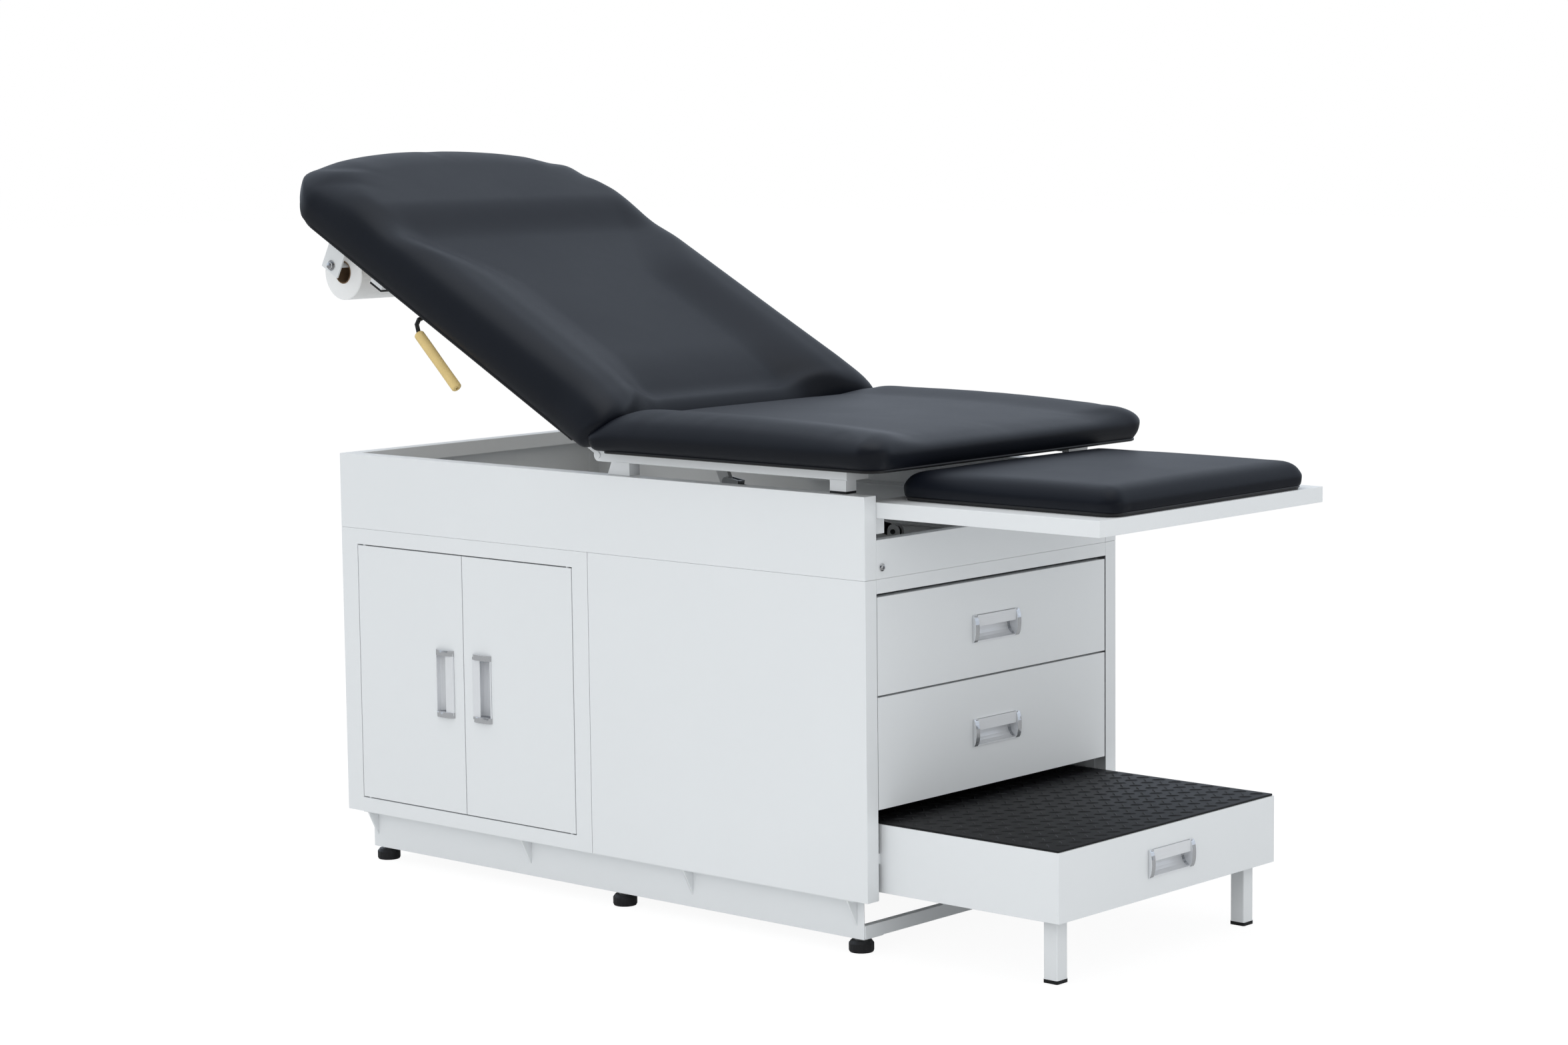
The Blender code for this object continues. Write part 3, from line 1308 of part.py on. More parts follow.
def spring_line():
    """Front pivot, direction and length of the gas spring in the photographed pose."""
    front = Vector((FRONT_X - SPRING_FRONT[0], 0.0, SPRING_FRONT[1]))
    x, z = arm_point()
    end = Vector((HINGE_X, 0.0, HINGE_Z)) + Matrix.Rotation(TILT, 3, "Y") @ Vector((x, 0.0, z))
    reach = Matrix.Rotation(math.radians(SPRING_LIFT), 3, "Y") @ (end - front)
    return front, reach.normalized(), reach.length


def gas_spring(parent, finish, bright):
    """Cylinder on the deck bracket, and the rod whose fork straddles the torque arm."""
    front, along, length = spring_line()
    turn = along.to_track_quat("Z", "Y").to_euler()
    owner = body("gas_cylinder_axis", front, parent)
    bore = ROD_RADIUS + RUN
    end = CYLINDER_START + CYLINDER_LENGTH
    profile = [
        (bore, end),
        (0.8 * CYLINDER_RADIUS, end),
        (CYLINDER_RADIUS, end - 0.004),
        (CYLINDER_RADIUS, CYLINDER_START),
        (0.0, CYLINDER_START),
        (0.0, CYLINDER_START + 0.012),
        (bore, CYLINDER_START + 0.012),
        (bore, end),
    ]
    made = turned("gas_cylinder", profile, owner, finish, front, 24, turn)
    neck = front + along * (CYLINDER_START + SPRING_PIN)
    weld(made, "neck", cylinder_between("neck", front, neck, SPRING_PIN, 16))
    half = Vector((0.0, ARM_THICKNESS / 2, 0.0))
    weld(made, "eye", cylinder_between("eye", front - half, front + half, 2 * SPRING_PIN, 24))
    reach = half + Vector((0.0, FORK_CLEAR + FORK_PLATE + PIN_PROUD, 0.0))
    weld(made, "pin", cylinder_between("pin", front - reach, front + reach, SPRING_PIN, 24))
    gas_rod(owner, front, along, length, end, bright)


def gas_rod(parent, front, along, length, mouth, finish):
    """Rod of the gas spring. Its fork straddles the torque arm with play and carries no pin."""
    start = front + along * (mouth - ROD_INSIDE)
    tip = front + along * length
    root = tip - along * FORK_REACH
    owner = body("gas_rod_slide", start - parent.location, parent)
    mesh = cylinder_between("gas_rod", start, root - along * 0.002, ROD_RADIUS, 24)
    middle = centred(mesh)
    made = bpy.data.objects.new("gas_rod", mesh)
    group_of("examination_table_with_cabinet").objects.link(made)
    made.parent = owner
    made.location = middle - start
    mesh.materials.append(finish)
    half = ARM_THICKNESS / 2 + FORK_CLEAR
    wide = FORK_WIDTH / 2
    square = Vector((-along.z, 0.0, along.x))
    back = root - along * 0.006
    low = square * (0.9 * wide)
    corners = [back - low, root - low, root + low, back + low]
    reach = half + FORK_PLATE / 2
    flat = [(corner.x, corner.z) for corner in corners]
    fork_part(made, "block", extruded("fork_block", [flat], "Y", -reach, reach), start)
    heel = back + along * 0.001
    turn = math.degrees(math.atan2(-square.z, -square.x))
    outline = [(heel.x - square.x * wide, heel.z - square.z * wide)]
    outline += ring((tip.x, tip.z), wide, 12, turn, 180.0)
    outline += [(heel.x + square.x * wide, heel.z + square.z * wide)]
    for side in (-1, 1):
        ends = (side * half, side * (half + FORK_PLATE))
        fork_part(made, f"prong_{side}", extruded("prong", [outline], "Y", min(ends), max(ends)), start)


def fork_part(rod, label, mesh, zero):
    """Welds a part of the fork to the rod."""
    middle = centred(mesh)
    tool = bpy.data.objects.new("gas_rod_" + label, mesh)
    group_of("cutters").objects.link(tool)
    tool.parent = rod.parent
    tool.location = middle - zero
    tool.hide_render = True
    tool.display_type = "WIRE"
    step = rod.modifiers.new(label, "BOOLEAN")
    step.operation = "UNION"
    step.solver = "EXACT"
    step.object = tool


def leg_extension(parent, finish, soft):
    """Leg extension: folded tray on two arms whose shoes run in the guides, and its pad. Stays inside the
    tray's edges carry it on the arms, which end inside the case."""
    owner = body("leg_slide", (FRONT_X + TRAY_FRONT, 0.0, TRAY_BOTTOM), parent)
    half = CLEAR_HALF - TRAY_SIDE_GAP
    low = (FRONT_X - TRAY_REAR, -half, TRAY_BOTTOM)
    high = (FRONT_X + TRAY_FRONT, half, TRAY_TOP)
    made = thicken(piece("leg_tray", pan("leg_tray", low, high, "-Z"), owner, finish), SHEET)
    under = GUIDE_SHELF + SHEET + GAP
    rear = FRONT_X - ARM_REAR
    for side in (-1, 1):
        ends = sorted((side * (half - ARM_WIDTH), side * (half - SHEET / 2)))
        arm_low = (rear, ends[0], under)
        arm_high = (FRONT_X - ARM_STOP, ends[1], TRAY_BOTTOM + 4 * SHEET)
        weld(made, f"arm_{side}", box("arm", arm_low, arm_high))
        stay = sorted((side * (half - ARM_WIDTH + STAY_SETBACK), side * (half - SHEET / 2)))
        stay_low = (FRONT_X - TRAY_REAR + SHEET / 2, stay[0], TRAY_BOTTOM + SHEET)
        stay_high = (FRONT_X + STAY_FRONT, stay[1], TRAY_TOP - SHEET / 2)
        weld(made, f"stay_{side}", box("stay", stay_low, stay_high))
        ends = sorted((side * (half - 2 * SHEET), side * (WALL_INNER - SHEET - SHOE_CLEAR)))
        shoe_low = (rear, ends[0], under + 0.001)
        shoe_high = (rear + SHOE_LENGTH, ends[1], GUIDE_LIP - SHEET - SHOE_CLEAR)
        weld(made, f"shoe_{side}", box("shoe", shoe_low, shoe_high))
    leg_pad(owner, soft)


def leg_pad(owner, finish):
    """Pad of the leg extension: low crowned cushion drawn in above the tray."""
    low = FRONT_X + LEG_PAD_REAR
    high = FRONT_X + LEG_PAD_FRONT
    base = TRAY_TOP + GAP
    rim = base + 0.45 * (LEG_PAD_TOP - base)
    bulge = 0.003

    def top(x, y):
        reach_x = (2 * x - low - high) / (high - low)
        crown = 0.004 * (1.0 - min(abs(y) / LEG_PAD_HALF, 1.0) ** 2) * (1.0 - reach_x**2)
        away = min(x - low - bulge, high - bulge - x, LEG_PAD_HALF - bulge - abs(y))
        return rim + (LEG_PAD_TOP - 0.004 + crown - rim) * edge_round(away, 0.028)

    height = rim - base
    skirts = (
        (bulge, base + 0.7 * height),
        (bulge, base + 0.35 * height),
        (-bulge, base + 0.15 * height),
        (-bulge, base),
    )
    plan = rounded_plan(low + bulge, high - bulge, LEG_PAD_HALF - bulge, LEG_PAD_CORNER)
    shape = cushion("leg_pad", plan, top, skirts, lambda x, z: 0.0, (16, 18))
    piece("leg_pad", shape, owner, finish)


def build_case(root, white):
    for name, side in (("base_skirt_near", -1), ("base_skirt_far", 1)):
        base_skirt(name, side, root, white)
    base_front_bar(root, white)
    base_head_bar(root, white)
    side_panel_near(root, white)
    door_frame_panel(root, white)
    side_panel_far(root, white)
    head_panel(root, white)
    cabinet_floor(root, white)
    partition(root, white)
    cupboard_shelf(root, white)
    deck_panel(root, white)
    surround_wall("surround_near", -1, root, white)
    surround_wall("surround_far", 1, root, white)
    surround_head(root, white)
    surround_front(root, white)
    for name, side in (("near", -1), ("far", 1)):
        runner_frame("runner_frame_" + name, side, root, white)
        leg_guide("leg_guide_" + name, side, root, white)
        seat_rail("seat_rail_" + name, side, root, white)
    seat_cross_tube(root, white)


def build_feet(root, black):
    number = 0
    for x in FEET_X:
        for side in (-1, 1):
            number += 1
            screw_foot(number, x, side, root, black)


def build_fronts(root, white, metal, black):
    form = pull_mesh()
    door("door_left", -1, form, root, white, metal)
    door("door_right", 1, form, root, white, metal)
    upper, lower = drawer_tops()
    drawer("drawer_upper", DRAWER_SPLIT + DRAWER_GAP / 2, upper, form, root, white, metal)
    drawer("drawer_lower", DRAWER_BOTTOM, lower, form, root, white, metal)
    step_unit(form, root, white, metal, black)


def build_backrest(root, white, wood, soft):
    owner = body("backrest", (HINGE_X, 0.0, HINGE_Z), root, TILT)
    back_rail("backrest_rail_near", -1, owner, white)
    back_rail("backrest_rail_far", 1, owner, white)
    torque_arm(back_cross("backrest_cross_lower", CROSS_LOWER, owner, white))
    back_cross("backrest_cross_upper", CROSS_UPPER, owner, white)
    back_board(owner, wood)
    back_pad(owner, soft)
    roll_bracket("roll_bracket_near", -1, owner, white)
    roll_bracket("roll_bracket_far", 1, owner, white)
    paper_roll(owner, paper())
    release_lever(owner, black_steel(), foam())


def main():
    clear_scene()
    white = paint()
    soft = vinyl()
    wood = plywood()
    black = rubber()
    root = body("examination_table", (0.0, 0.0, 0.0))
    build_case(root, white)
    seat_board(root, wood)
    seat_pad(root, soft)
    build_feet(root, black)
    build_fronts(root, white, silver(), black)
    build_backrest(root, white, wood, soft)
    gas_spring(root, black_steel(), steel())
    leg_extension(root, white, soft)
    bpy.context.view_layer.update()


main()
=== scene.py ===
"""Looks of an examination table with a cabinet: powder-coated steel, smooth vinyl pads with rolled edges,
recessed pulls, a tread mat on the step, a paper roll, a foam grip and small hardware."""

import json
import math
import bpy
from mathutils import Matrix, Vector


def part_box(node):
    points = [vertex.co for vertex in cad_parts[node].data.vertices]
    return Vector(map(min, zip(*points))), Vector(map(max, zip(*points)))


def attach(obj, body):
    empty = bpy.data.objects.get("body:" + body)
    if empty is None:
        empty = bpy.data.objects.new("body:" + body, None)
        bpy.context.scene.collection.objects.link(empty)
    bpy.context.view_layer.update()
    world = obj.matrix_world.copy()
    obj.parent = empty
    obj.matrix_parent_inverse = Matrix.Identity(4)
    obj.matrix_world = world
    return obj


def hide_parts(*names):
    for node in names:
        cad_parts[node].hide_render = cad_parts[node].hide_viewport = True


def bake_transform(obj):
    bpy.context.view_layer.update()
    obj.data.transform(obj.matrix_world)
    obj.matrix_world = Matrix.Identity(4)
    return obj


bl_info = {
    "name": "Examination table with cabinet",
    "version": (1, 0, 0),
    "blender": (4, 5, 0),
    "location": "View3D > Sidebar > Table",
    "description": "Finishes, pads and small hardware of an examination table with a cabinet",
    "category": "Object",
}

import bmesh
import bpy
import numpy as np
from bpy.props import FloatProperty, FloatVectorProperty, PointerProperty
from mathutils import Matrix, Vector

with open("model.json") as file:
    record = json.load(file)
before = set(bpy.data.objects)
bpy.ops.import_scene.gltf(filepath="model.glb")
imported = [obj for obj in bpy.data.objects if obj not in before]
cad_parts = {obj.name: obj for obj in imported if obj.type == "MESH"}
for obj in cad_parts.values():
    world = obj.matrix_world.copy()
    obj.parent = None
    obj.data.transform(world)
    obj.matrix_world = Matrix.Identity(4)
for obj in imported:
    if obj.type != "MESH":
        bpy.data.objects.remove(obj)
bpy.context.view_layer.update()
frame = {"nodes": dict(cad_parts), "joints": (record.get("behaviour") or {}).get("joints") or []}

# Camera of the photograph, in the frame of the solids
CAMERA_PLACE = (3.8087, -4.2258, 1.2677)
CAMERA_TURN = math.radians(41.8647)
CAMERA_DOWN = math.radians(6.6875)
CAMERA_ROLL = math.radians(-0.662)
CAMERA_LENS = 80.60
CAMERA_SENSOR = 36.0

# Places read from the frame
JOINTS = {joint["name"]: joint for joint in frame["joints"]}
HINGE = Vector(JOINTS["backrest_hinge"]["pos_m"])
PAPER_AXIS = Vector(JOINTS["paper_roll_turn"]["pos_m"])
FRONT_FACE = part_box("surround_front")[1].x
RIM_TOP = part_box("surround_near")[1].z
MAT_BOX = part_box("step_mat")
SEAT_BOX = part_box("seat_pad")
LEG_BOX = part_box("leg_pad")
SEAT_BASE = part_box("seat_board")[0].z
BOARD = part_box("seat_board")[1].z - SEAT_BASE

# Tilt of the backrest, and the directions up along it and out of it
BACK_TILT = math.radians(28.0)
BACK_FRAME = Matrix.Translation(HINGE) @ Matrix.Rotation(BACK_TILT, 4, "Y")
BACK_UP = Vector((-math.cos(BACK_TILT), 0.0, math.sin(BACK_TILT)))
BACK_OUT = Vector((math.sin(BACK_TILT), 0.0, math.cos(BACK_TILT)))

# Rubber tips of posts and legs, and the zinc stem of a foot
POST_TIP = 0.0038
POST_REACH = 0.2
STOP_FROM = 0.5
STOP_FACE = -0.0255
STEP_LEG_TIP = 0.0065
STEM_FROM = 0.0183
STEM_THREAD = 5000.0

# Pulls and folded sheet
PULL_CAP = 0.0090
PULL_CAP_LINE = 0.0003
PULL_CAP_COLOUR = (0.80, 0.81, 0.83)
PULL_FOLD = 0.0003
SHEET_FOLD = 0.0007

# Covers of the pads: heights down a side as shares of its widest line, and how deep corner folds are there
SIDE_SHARES = (0.72, 0.46, 0.24, 0.09, 0.0)
FOLD_SHARES = (0.5, 1.0, 0.9, 0.7, 0.3)
SEAM_INSET = 0.0172
BOARD_OVERLAP = 0.0006
PIPING_INSET = 0.001
PIPING_STEPS = 96
TUBE_SIDES = 8
COVER_FRAMES = 20
COVER_CLOTH = {
    "quality": 5,
    "mass": 0.30,
    "tension_stiffness": 18.0,
    "compression_stiffness": 18.0,
    "shear_stiffness": 8.0,
    "bending_stiffness": 2.0,
    "use_pressure": True,
    "shrink_min": -0.004,
}

# Borders of a plan: open at the rear, and closed
OPEN_BORDER = ((-0.93, -1.0), (1.0, -1.0), (1.0, 1.0), (-0.93, 1.0))
CLOSED_BORDER = ((-1.0, -1.0), (1.0, -1.0), (1.0, 1.0), (-1.0, 1.0), (-1.0, -1.0))

# Seam of seat and backrest: its heights on the seat and on the backrest, by distance from the middle
MEET_X = -0.0950
MEET_GAP = 0.0005
MEET_Y = (0.0, 0.180, 0.284, 0.325, 0.345)
MEET_SEAT = (0.785, 0.784, 0.772, 0.757, 0.753)
MEET_BACK = (0.0535, 0.0540, 0.0720, 0.0720, 0.0500)

# Seat pad
SEAT_FRONT = 0.494
SEAT_FRONT_STEEP = 1.25
SEAT_PEAK = 0.803
SEAT_RIM = 0.46
SEAT_FALL_FROM = 0.120
SEAT_FALL = 0.016
SEAT_ROLL_IN = 0.020
SEAT_ROLL_OUT = 0.070
SEAT_FREE = 0.08
SEAT_FOLD_SPAN = 0.085
SEAT_FOLD_DEPTH = 0.0003
SEAT_PIPING_DROP = 0.0004

# Backrest pad: lengths up along it from the hinge, and heights out from the hinge's line
BACK_START = -0.0065
BACK_LENGTH = 0.871
BACK_BASE = 0.0103
BACK_PANEL = 0.077
BACK_TOP = 0.099
BACK_RIM = 0.44
BACK_FREE = 0.10
BACK_PIPING_START = 0.014
BACK_PIPING_RISE = 0.0006
BOLSTER_WIDEN = 0.100
BOLSTER_WIDEN_SPAN = (0.38, 0.60)
BOLSTER_IN = 0.075
BOLSTER_OUT = 0.040
HEAD_RISE = 0.074
HEAD_CORNER = 0.070
HEAD_ROLL_SPAN = (0.65, 0.79)
PILLOW_TOP = 0.1000
PILLOW_SPAN = (0.550, 0.645)
PILLOW_DROP = 0.015
PILLOW_DROP_SPAN = (0.67, 0.83)
PILLOW_FLAT = 0.20
PANEL_FALL = 0.013
PANEL_FALL_FROM = 0.170
LIP_AT = 0.010
LIP_WIDTH = 0.012
LIP_RISE = 0.003
HOLLOW_AT = 0.038
HOLLOW_WIDTH = 0.020
HOLLOW_DEPTH = 0.002
SINK_SPAN = (0.20, 0.30)
PANEL_LEAN = 0.53
BOLSTER_LEAN = -0.15
LEAN_SPAN = (0.18, 0.30)
LEAN_FADE = 0.16

# Pad of the leg extension, and the dark band under it
LEG_FRONT = 0.8660
LEG_HALF = 0.2425
LEG_CORNER = 0.024
LEG_BULGE = 0.004
LEG_PROUD = 0.005
LEG_CROWN = 0.005
LEG_RIM = 0.40
LEG_EDGE = 0.034
LEG_EDGE_CORNER = 0.029
LEG_INSET = 0.016
LEG_OVERLAP = 0.0004
LEG_FREE = 0.12
LEG_FOLD_IN = 0.03
LEG_FOLD_SPAN = 0.055
LEG_FOLD_DEPTH = 0.0007
LEG_PIPING = 0.0021
LEG_PIPING_DROP = 0.001
BAND_HEIGHT = 0.0052
BAND_INSET = 0.0005
BAND_GAP = 0.0002
BAND_STEPS = 48

# Tread mat
MAT_DROP = 0.0002
MAT_EDGE = 0.0008
BAR_SUNK = 0.0003
BAR_STATIONS = (-0.66, 0.0, 0.66)

# Foam grip: its ends in from its box, the bore at its free end and the hole round the lever
GRIP_END_X = 0.0055
GRIP_END_Z = 0.0078
GRIP_BORE = 0.0028
GRIP_BORE_DEPTH = 0.012
GRIP_HOLE = 0.0043
GRIP_HOLE_DEPTH = 0.010
GRIP_SOFT = 0.0035
GRIP_WAVE = 0.018
GRIP_WAVES = 7.0
ON_AXIS = 0.0001

# Paper roll
PAPER_CORE = 0.018
PAPER_CARD = 0.0015
PAPER_CARD_STEP = 0.0004
PAPER_CORE_PROUD = 0.001
PAPER_EDGE = 0.0012
PAPER_SLACK = 0.0010
PAPER_LOOSE = 0.0008
PAPER_STEPS = 72
PAPER_RINGS = 5200.0

# Screws in the front wall, and the nut on the paper roll's rod
SCREW_IN = 0.0120
SCREW_Z = 0.5915
SCREW_RADIUS = 0.0062
SCREW_BRIM = 0.0006
SCREW_DOME = 0.55
SCREW_SOCKET = 0.35
NUT_RISE = 0.0127
NUT_RADIUS = 0.0065
NUT_HEIGHT = 0.0050
NUT_EDGE = 0.0005
WASHER_SEAT = 0.001
WASHER_HEIGHT = 0.0012

# Lamps: name, place, what it points at, size, and whether it shows in gloss
LAMPS = (
    ("key", (2.3, -4.2, 2.7), (0.0, 0.0, 0.5), 3.0, False),
    ("side", (-2.6, -0.3, 2.5), (-0.6, 0.0, 0.6), 1.0, False),
    ("top", (0.6, -0.4, 3.6), (0.0, 0.0, 0.5), 3.0, True),
    ("fill", (4.5, 0.5, 1.2), (0.5, 0.0, 0.4), 2.0, True),
)

# World and floor: where the even light is stronger, tints, and how the floor shows to camera and gloss
NEAR_GAIN = (-0.06, -0.12, 0.0)
BACKDROP_RISE = 0.25
BACKDROP_SPAN = (-0.35, 0.45)
EVEN_TINT = (0.95, 0.98, 1.0)
GLOSS_TINT = (0.84, 0.93, 1.06)
FLOOR_SIZE = 30.0
FLOOR_DROP = 0.0005
FLOOR_GLOW = 1.06
FLOOR_GLOW_SHARE = 0.88
FLOOR_DIM = 0.12
FLOOR_DIM_SHARE = 0.75

# Solids with powder coat, those with rounded folds, and the pulls with their long axes
WHITE_SHEET = (
    "base_skirt_near", "base_skirt_far", "base_front_bar", "base_head_bar", "side_panel_near",
    "door_frame_panel", "side_panel_far", "head_panel", "cabinet_floor", "partition", "cupboard_shelf",
    "deck_panel", "surround_near", "surround_far", "surround_head", "surround_front", "runner_frame_near",
    "runner_frame_far", "leg_guide_near", "leg_guide_far", "seat_cross_tube", "door_left", "door_right",
    "drawer_upper", "drawer_lower", "step_box", "backrest_cross_lower", "backrest_cross_upper",
    "roll_bracket_near", "roll_bracket_far", "leg_tray",
)
FOLDED = (
    "side_panel_near", "door_frame_panel", "side_panel_far", "surround_near", "surround_far",
    "surround_head", "surround_front", "door_left", "door_right", "drawer_upper", "drawer_lower", "step_box",
    "leg_tray", "head_panel", "roll_bracket_near", "base_skirt_near", "base_skirt_far", "deck_panel",
)
PULLS = (
    ("door_left_pull", "Z"),
    ("door_right_pull", "Z"),
    ("drawer_upper_pull", "Y"),
    ("drawer_lower_pull", "Y"),
    ("step_pull", "Y"),
)


class PadSizes(bpy.types.PropertyGroup):
    """Sizes of the three pads."""

    bolster: FloatProperty(
        name="Bolster", description="Width of a raised side roll", default=0.125, unit="LENGTH"
    )
    corner: FloatProperty(
        name="Corner", description="Corner radius at the free ends", default=0.042, unit="LENGTH"
    )
    tight: FloatProperty(
        name="Tight corner", description="Corner radius where the pads meet", default=0.022, unit="LENGTH"
    )
    edge: FloatProperty(
        name="Edge", description="Width over which the top rolls down", default=0.058, unit="LENGTH"
    )
    bulge: FloatProperty(
        name="Bulge", description="How far the sides stand out over the base", default=0.015, unit="LENGTH"
    )
    sink: FloatProperty(
        name="Sink", description="Length over which the seat sinks to where the pads meet", default=0.115,
        unit="LENGTH",
    )
    back_sink: FloatProperty(
        name="Backrest sink", description="Length over which the backrest's rolls sink to the same place",
        default=0.050, unit="LENGTH",
    )
    lip: FloatProperty(
        name="Lip", description="Length of the backrest panel's lip at the seam", default=0.017,
        unit="LENGTH",
    )
    dip: FloatProperty(
        name="Dip", description="Depth of the seat's middle below its rolls", default=0.009, unit="LENGTH"
    )
    mesh: FloatProperty(
        name="Mesh", description="Spacing of the mesh before it is divided", default=0.0085, unit="LENGTH"
    )
    piping: FloatProperty(
        name="Piping", description="Radius of the piping under an edge", default=0.0028, unit="LENGTH"
    )
    pressure: FloatProperty(name="Pressure", description="Filling pressure of the pads", default=4.0)
    swell: FloatProperty(
        name="Swell", description="Most that a point may move when filled", default=0.004, unit="LENGTH"
    )


class TreadSizes(bpy.types.PropertyGroup):
    """Sizes of the tread mat's bars."""

    pitch: FloatProperty(name="Pitch", description="Spacing of like bars", default=0.0310, unit="LENGTH")
    length: FloatProperty(name="Length", description="Length of a bar", default=0.0240, unit="LENGTH")
    width: FloatProperty(name="Width", description="Width of a bar", default=0.0062, unit="LENGTH")
    height: FloatProperty(name="Height", description="Height of a bar", default=0.0014, unit="LENGTH")


class TableColours(bpy.types.PropertyGroup):
    """Colours of the finishes."""

    coat: FloatVectorProperty(
        name="Coat", description="Powder coat", default=(0.790, 0.805, 0.815), subtype="COLOR"
    )
    vinyl: FloatVectorProperty(
        name="Vinyl", description="Vinyl of the pads", default=(0.0042, 0.0060, 0.0112), subtype="COLOR"
    )
    piping: FloatVectorProperty(
        name="Piping", description="Piping and rubber", default=(0.010, 0.010, 0.011), subtype="COLOR"
    )
    silver: FloatVectorProperty(
        name="Silver", description="Pulls", default=(0.86, 0.87, 0.89), subtype="COLOR"
    )
    foam: FloatVectorProperty(
        name="Foam", description="Lever grip", default=(0.760, 0.570, 0.240), subtype="COLOR"
    )
    paper: FloatVectorProperty(
        name="Paper", description="Paper roll", default=(0.90, 0.90, 0.895), subtype="COLOR"
    )
    # Board: a plywood tone that is partly real and partly painted shade. It is kept dark so that the
    # underside of the seat reads as shade, and the backrest board uses it 2.8 times lighter.
    board: FloatVectorProperty(
        name="Board", description="Pad boards", default=(0.200, 0.180, 0.155), subtype="COLOR"
    )


class StageSettings(bpy.types.PropertyGroup):
    """Strengths of the lights."""

    even: FloatProperty(name="Even light", description="Soft light from all round", default=0.80)
    backdrop: FloatProperty(name="Backdrop", description="Gloss from behind the table", default=0.84)
    room: FloatProperty(name="Room", description="Gloss from the camera's side", default=0.10)
    key: FloatProperty(name="Key", description="Lamp by the camera", default=28.0, unit="POWER")
    top: FloatProperty(name="Top", description="Lamp overhead", default=24.0, unit="POWER")
    fill: FloatProperty(name="Fill", description="Lamp before the drawers", default=11.0, unit="POWER")
    side: FloatProperty(name="Side", description="Lamp over the head end", default=16.0, unit="POWER")


class Wire:
    """A value on a node tree. Arithmetic on it adds Math nodes."""

    def __init__(self, nodes, socket):
        self.nodes = nodes
        self.socket = socket

    def math(self, operation, first, second=0.0):
        return self.nodes.node("ShaderNodeMath", {"operation": operation}, {0: first, 1: second})

    def __add__(self, other):
        return self.math("ADD", self, other)

    def __radd__(self, other):
        return self.math("ADD", other, self)

    def __sub__(self, other):
        return self.math("SUBTRACT", self, other)

    def __rsub__(self, other):
        return self.math("SUBTRACT", other, self)

    def __mul__(self, other):
        return self.math("MULTIPLY", self, other)

    def __rmul__(self, other):
        return self.math("MULTIPLY", other, self)

    def __abs__(self):
        return self.math("ABSOLUTE", self)

    def __gt__(self, other):
        return self.math("GREATER_THAN", self, other)

    def __lt__(self, other):
        return self.math("LESS_THAN", self, other)

    def root(self):
        return self.math("SQRT", self)

    def sine(self):
        return self.math("SINE", self)

    def ramp(self, low, high):
        """0 below low, 1 above high, and an even curve between."""
        settings = {"interpolation_type": "SMOOTHSTEP"}
        sockets = {"Value": self, "From Min": low, "From Max": high}
        return self.nodes.node("ShaderNodeMapRange", settings, sockets)


class NodeTree:
    """A node tree that is written as expressions."""

    def __init__(self, tree):
        self.tree = tree

    def node(self, kind, settings=None, sockets=None, output=0):
        """Adds a node: its settings first, then the values or links of its sockets."""
        made = self.tree.nodes.new(kind)
        for key, value in (settings or {}).items():
            setattr(made, key, value)
        for key, value in (sockets or {}).items():
            self.plug(made.inputs[key], value)
        return Wire(self, made.outputs[output])

    def plug(self, socket, value):
        if isinstance(value, Wire):
            self.tree.links.new(value.socket, socket)
        else:
            socket.default_value = value

    def mix(self, factor, first, second):
        """A colour between two others."""
        colours = [c if isinstance(c, Wire) else (*c[:3], 1.0) for c in (first, second)]
        sockets = {0: factor, 6: colours[0], 7: colours[1]}
        return self.node("ShaderNodeMix", {"data_type": "RGBA"}, sockets, 2)

    def vector(self, operation, first, second, output=0):
        return self.node("ShaderNodeVectorMath", {"operation": operation}, {0: first, 1: second}, output)


class Finish(NodeTree):
    """A procedural surface, patterned by the place on the table."""

    def __init__(self, name, **values):
        self.material = bpy.data.materials.new(name)
        self.material.use_nodes = True
        super().__init__(self.material.node_tree)
        self.surface = self.tree.nodes["Principled BSDF"]
        for key, value in values.items():
            self.set(key.replace("_", " "), value)

    def set(self, key, value):
        name = {"Colour": "Base Color"}.get(key, key)
        if name == "Base Color" and not isinstance(value, Wire):
            value = (*value[:3], 1.0)
        self.plug(self.surface.inputs[name], value)

    def place(self):
        return self.node("ShaderNodeTexCoord", output="Object")

    def axis(self, place, name):
        return self.node("ShaderNodeSeparateXYZ", None, {0: place}, name)

    def noise(self, place, scale, detail=2.0, rough=0.5):
        sockets = {"Vector": place, "Scale": scale, "Detail": detail, "Roughness": rough}
        return self.node("ShaderNodeTexNoise", None, sockets)

    def cells(self, place, scale):
        settings = {"feature": "DISTANCE_TO_EDGE"}
        return self.node("ShaderNodeTexVoronoi", settings, {"Vector": place, "Scale": scale})

    def tones(self, share, colour, low, high):
        """From one shade of a colour to another."""
        return self.mix(share, shade(colour, low), shade(colour, high))

    def bump(self, height, strength, distance):
        sockets = {"Height": height, "Strength": strength, "Distance": distance}
        self.set("Normal", self.node("ShaderNodeBump", None, sockets))


def colours():
    return bpy.context.scene.table_colours


def shade(colour, factor):
    return tuple(channel * factor for channel in colour)


def coat_base(finish, place):
    """Gloss and fine skin of the powder coat. Gives its colour."""
    cloud = finish.noise(place, 2.2, 3.0)
    finish.set("Roughness", 0.34 + 0.10 * cloud)
    finish.bump(finish.noise(place, 620.0), 0.10, 0.0004)
    return finish.tones(cloud, colours().coat, 0.975, 1.02)


def powder_coat():
    finish = Finish("powder_coat")
    finish.set("Colour", coat_base(finish, finish.place()))
    return finish.material


def coat_with_rubber(name, mask_of):
    """Powder coat with a black rubber tip where a mask says so."""
    finish = Finish(name)
    place = finish.place()
    tone = coat_base(finish, place)
    finish.set("Colour", finish.mix(mask_of(finish, place), tone, colours().piping))
    return finish.material


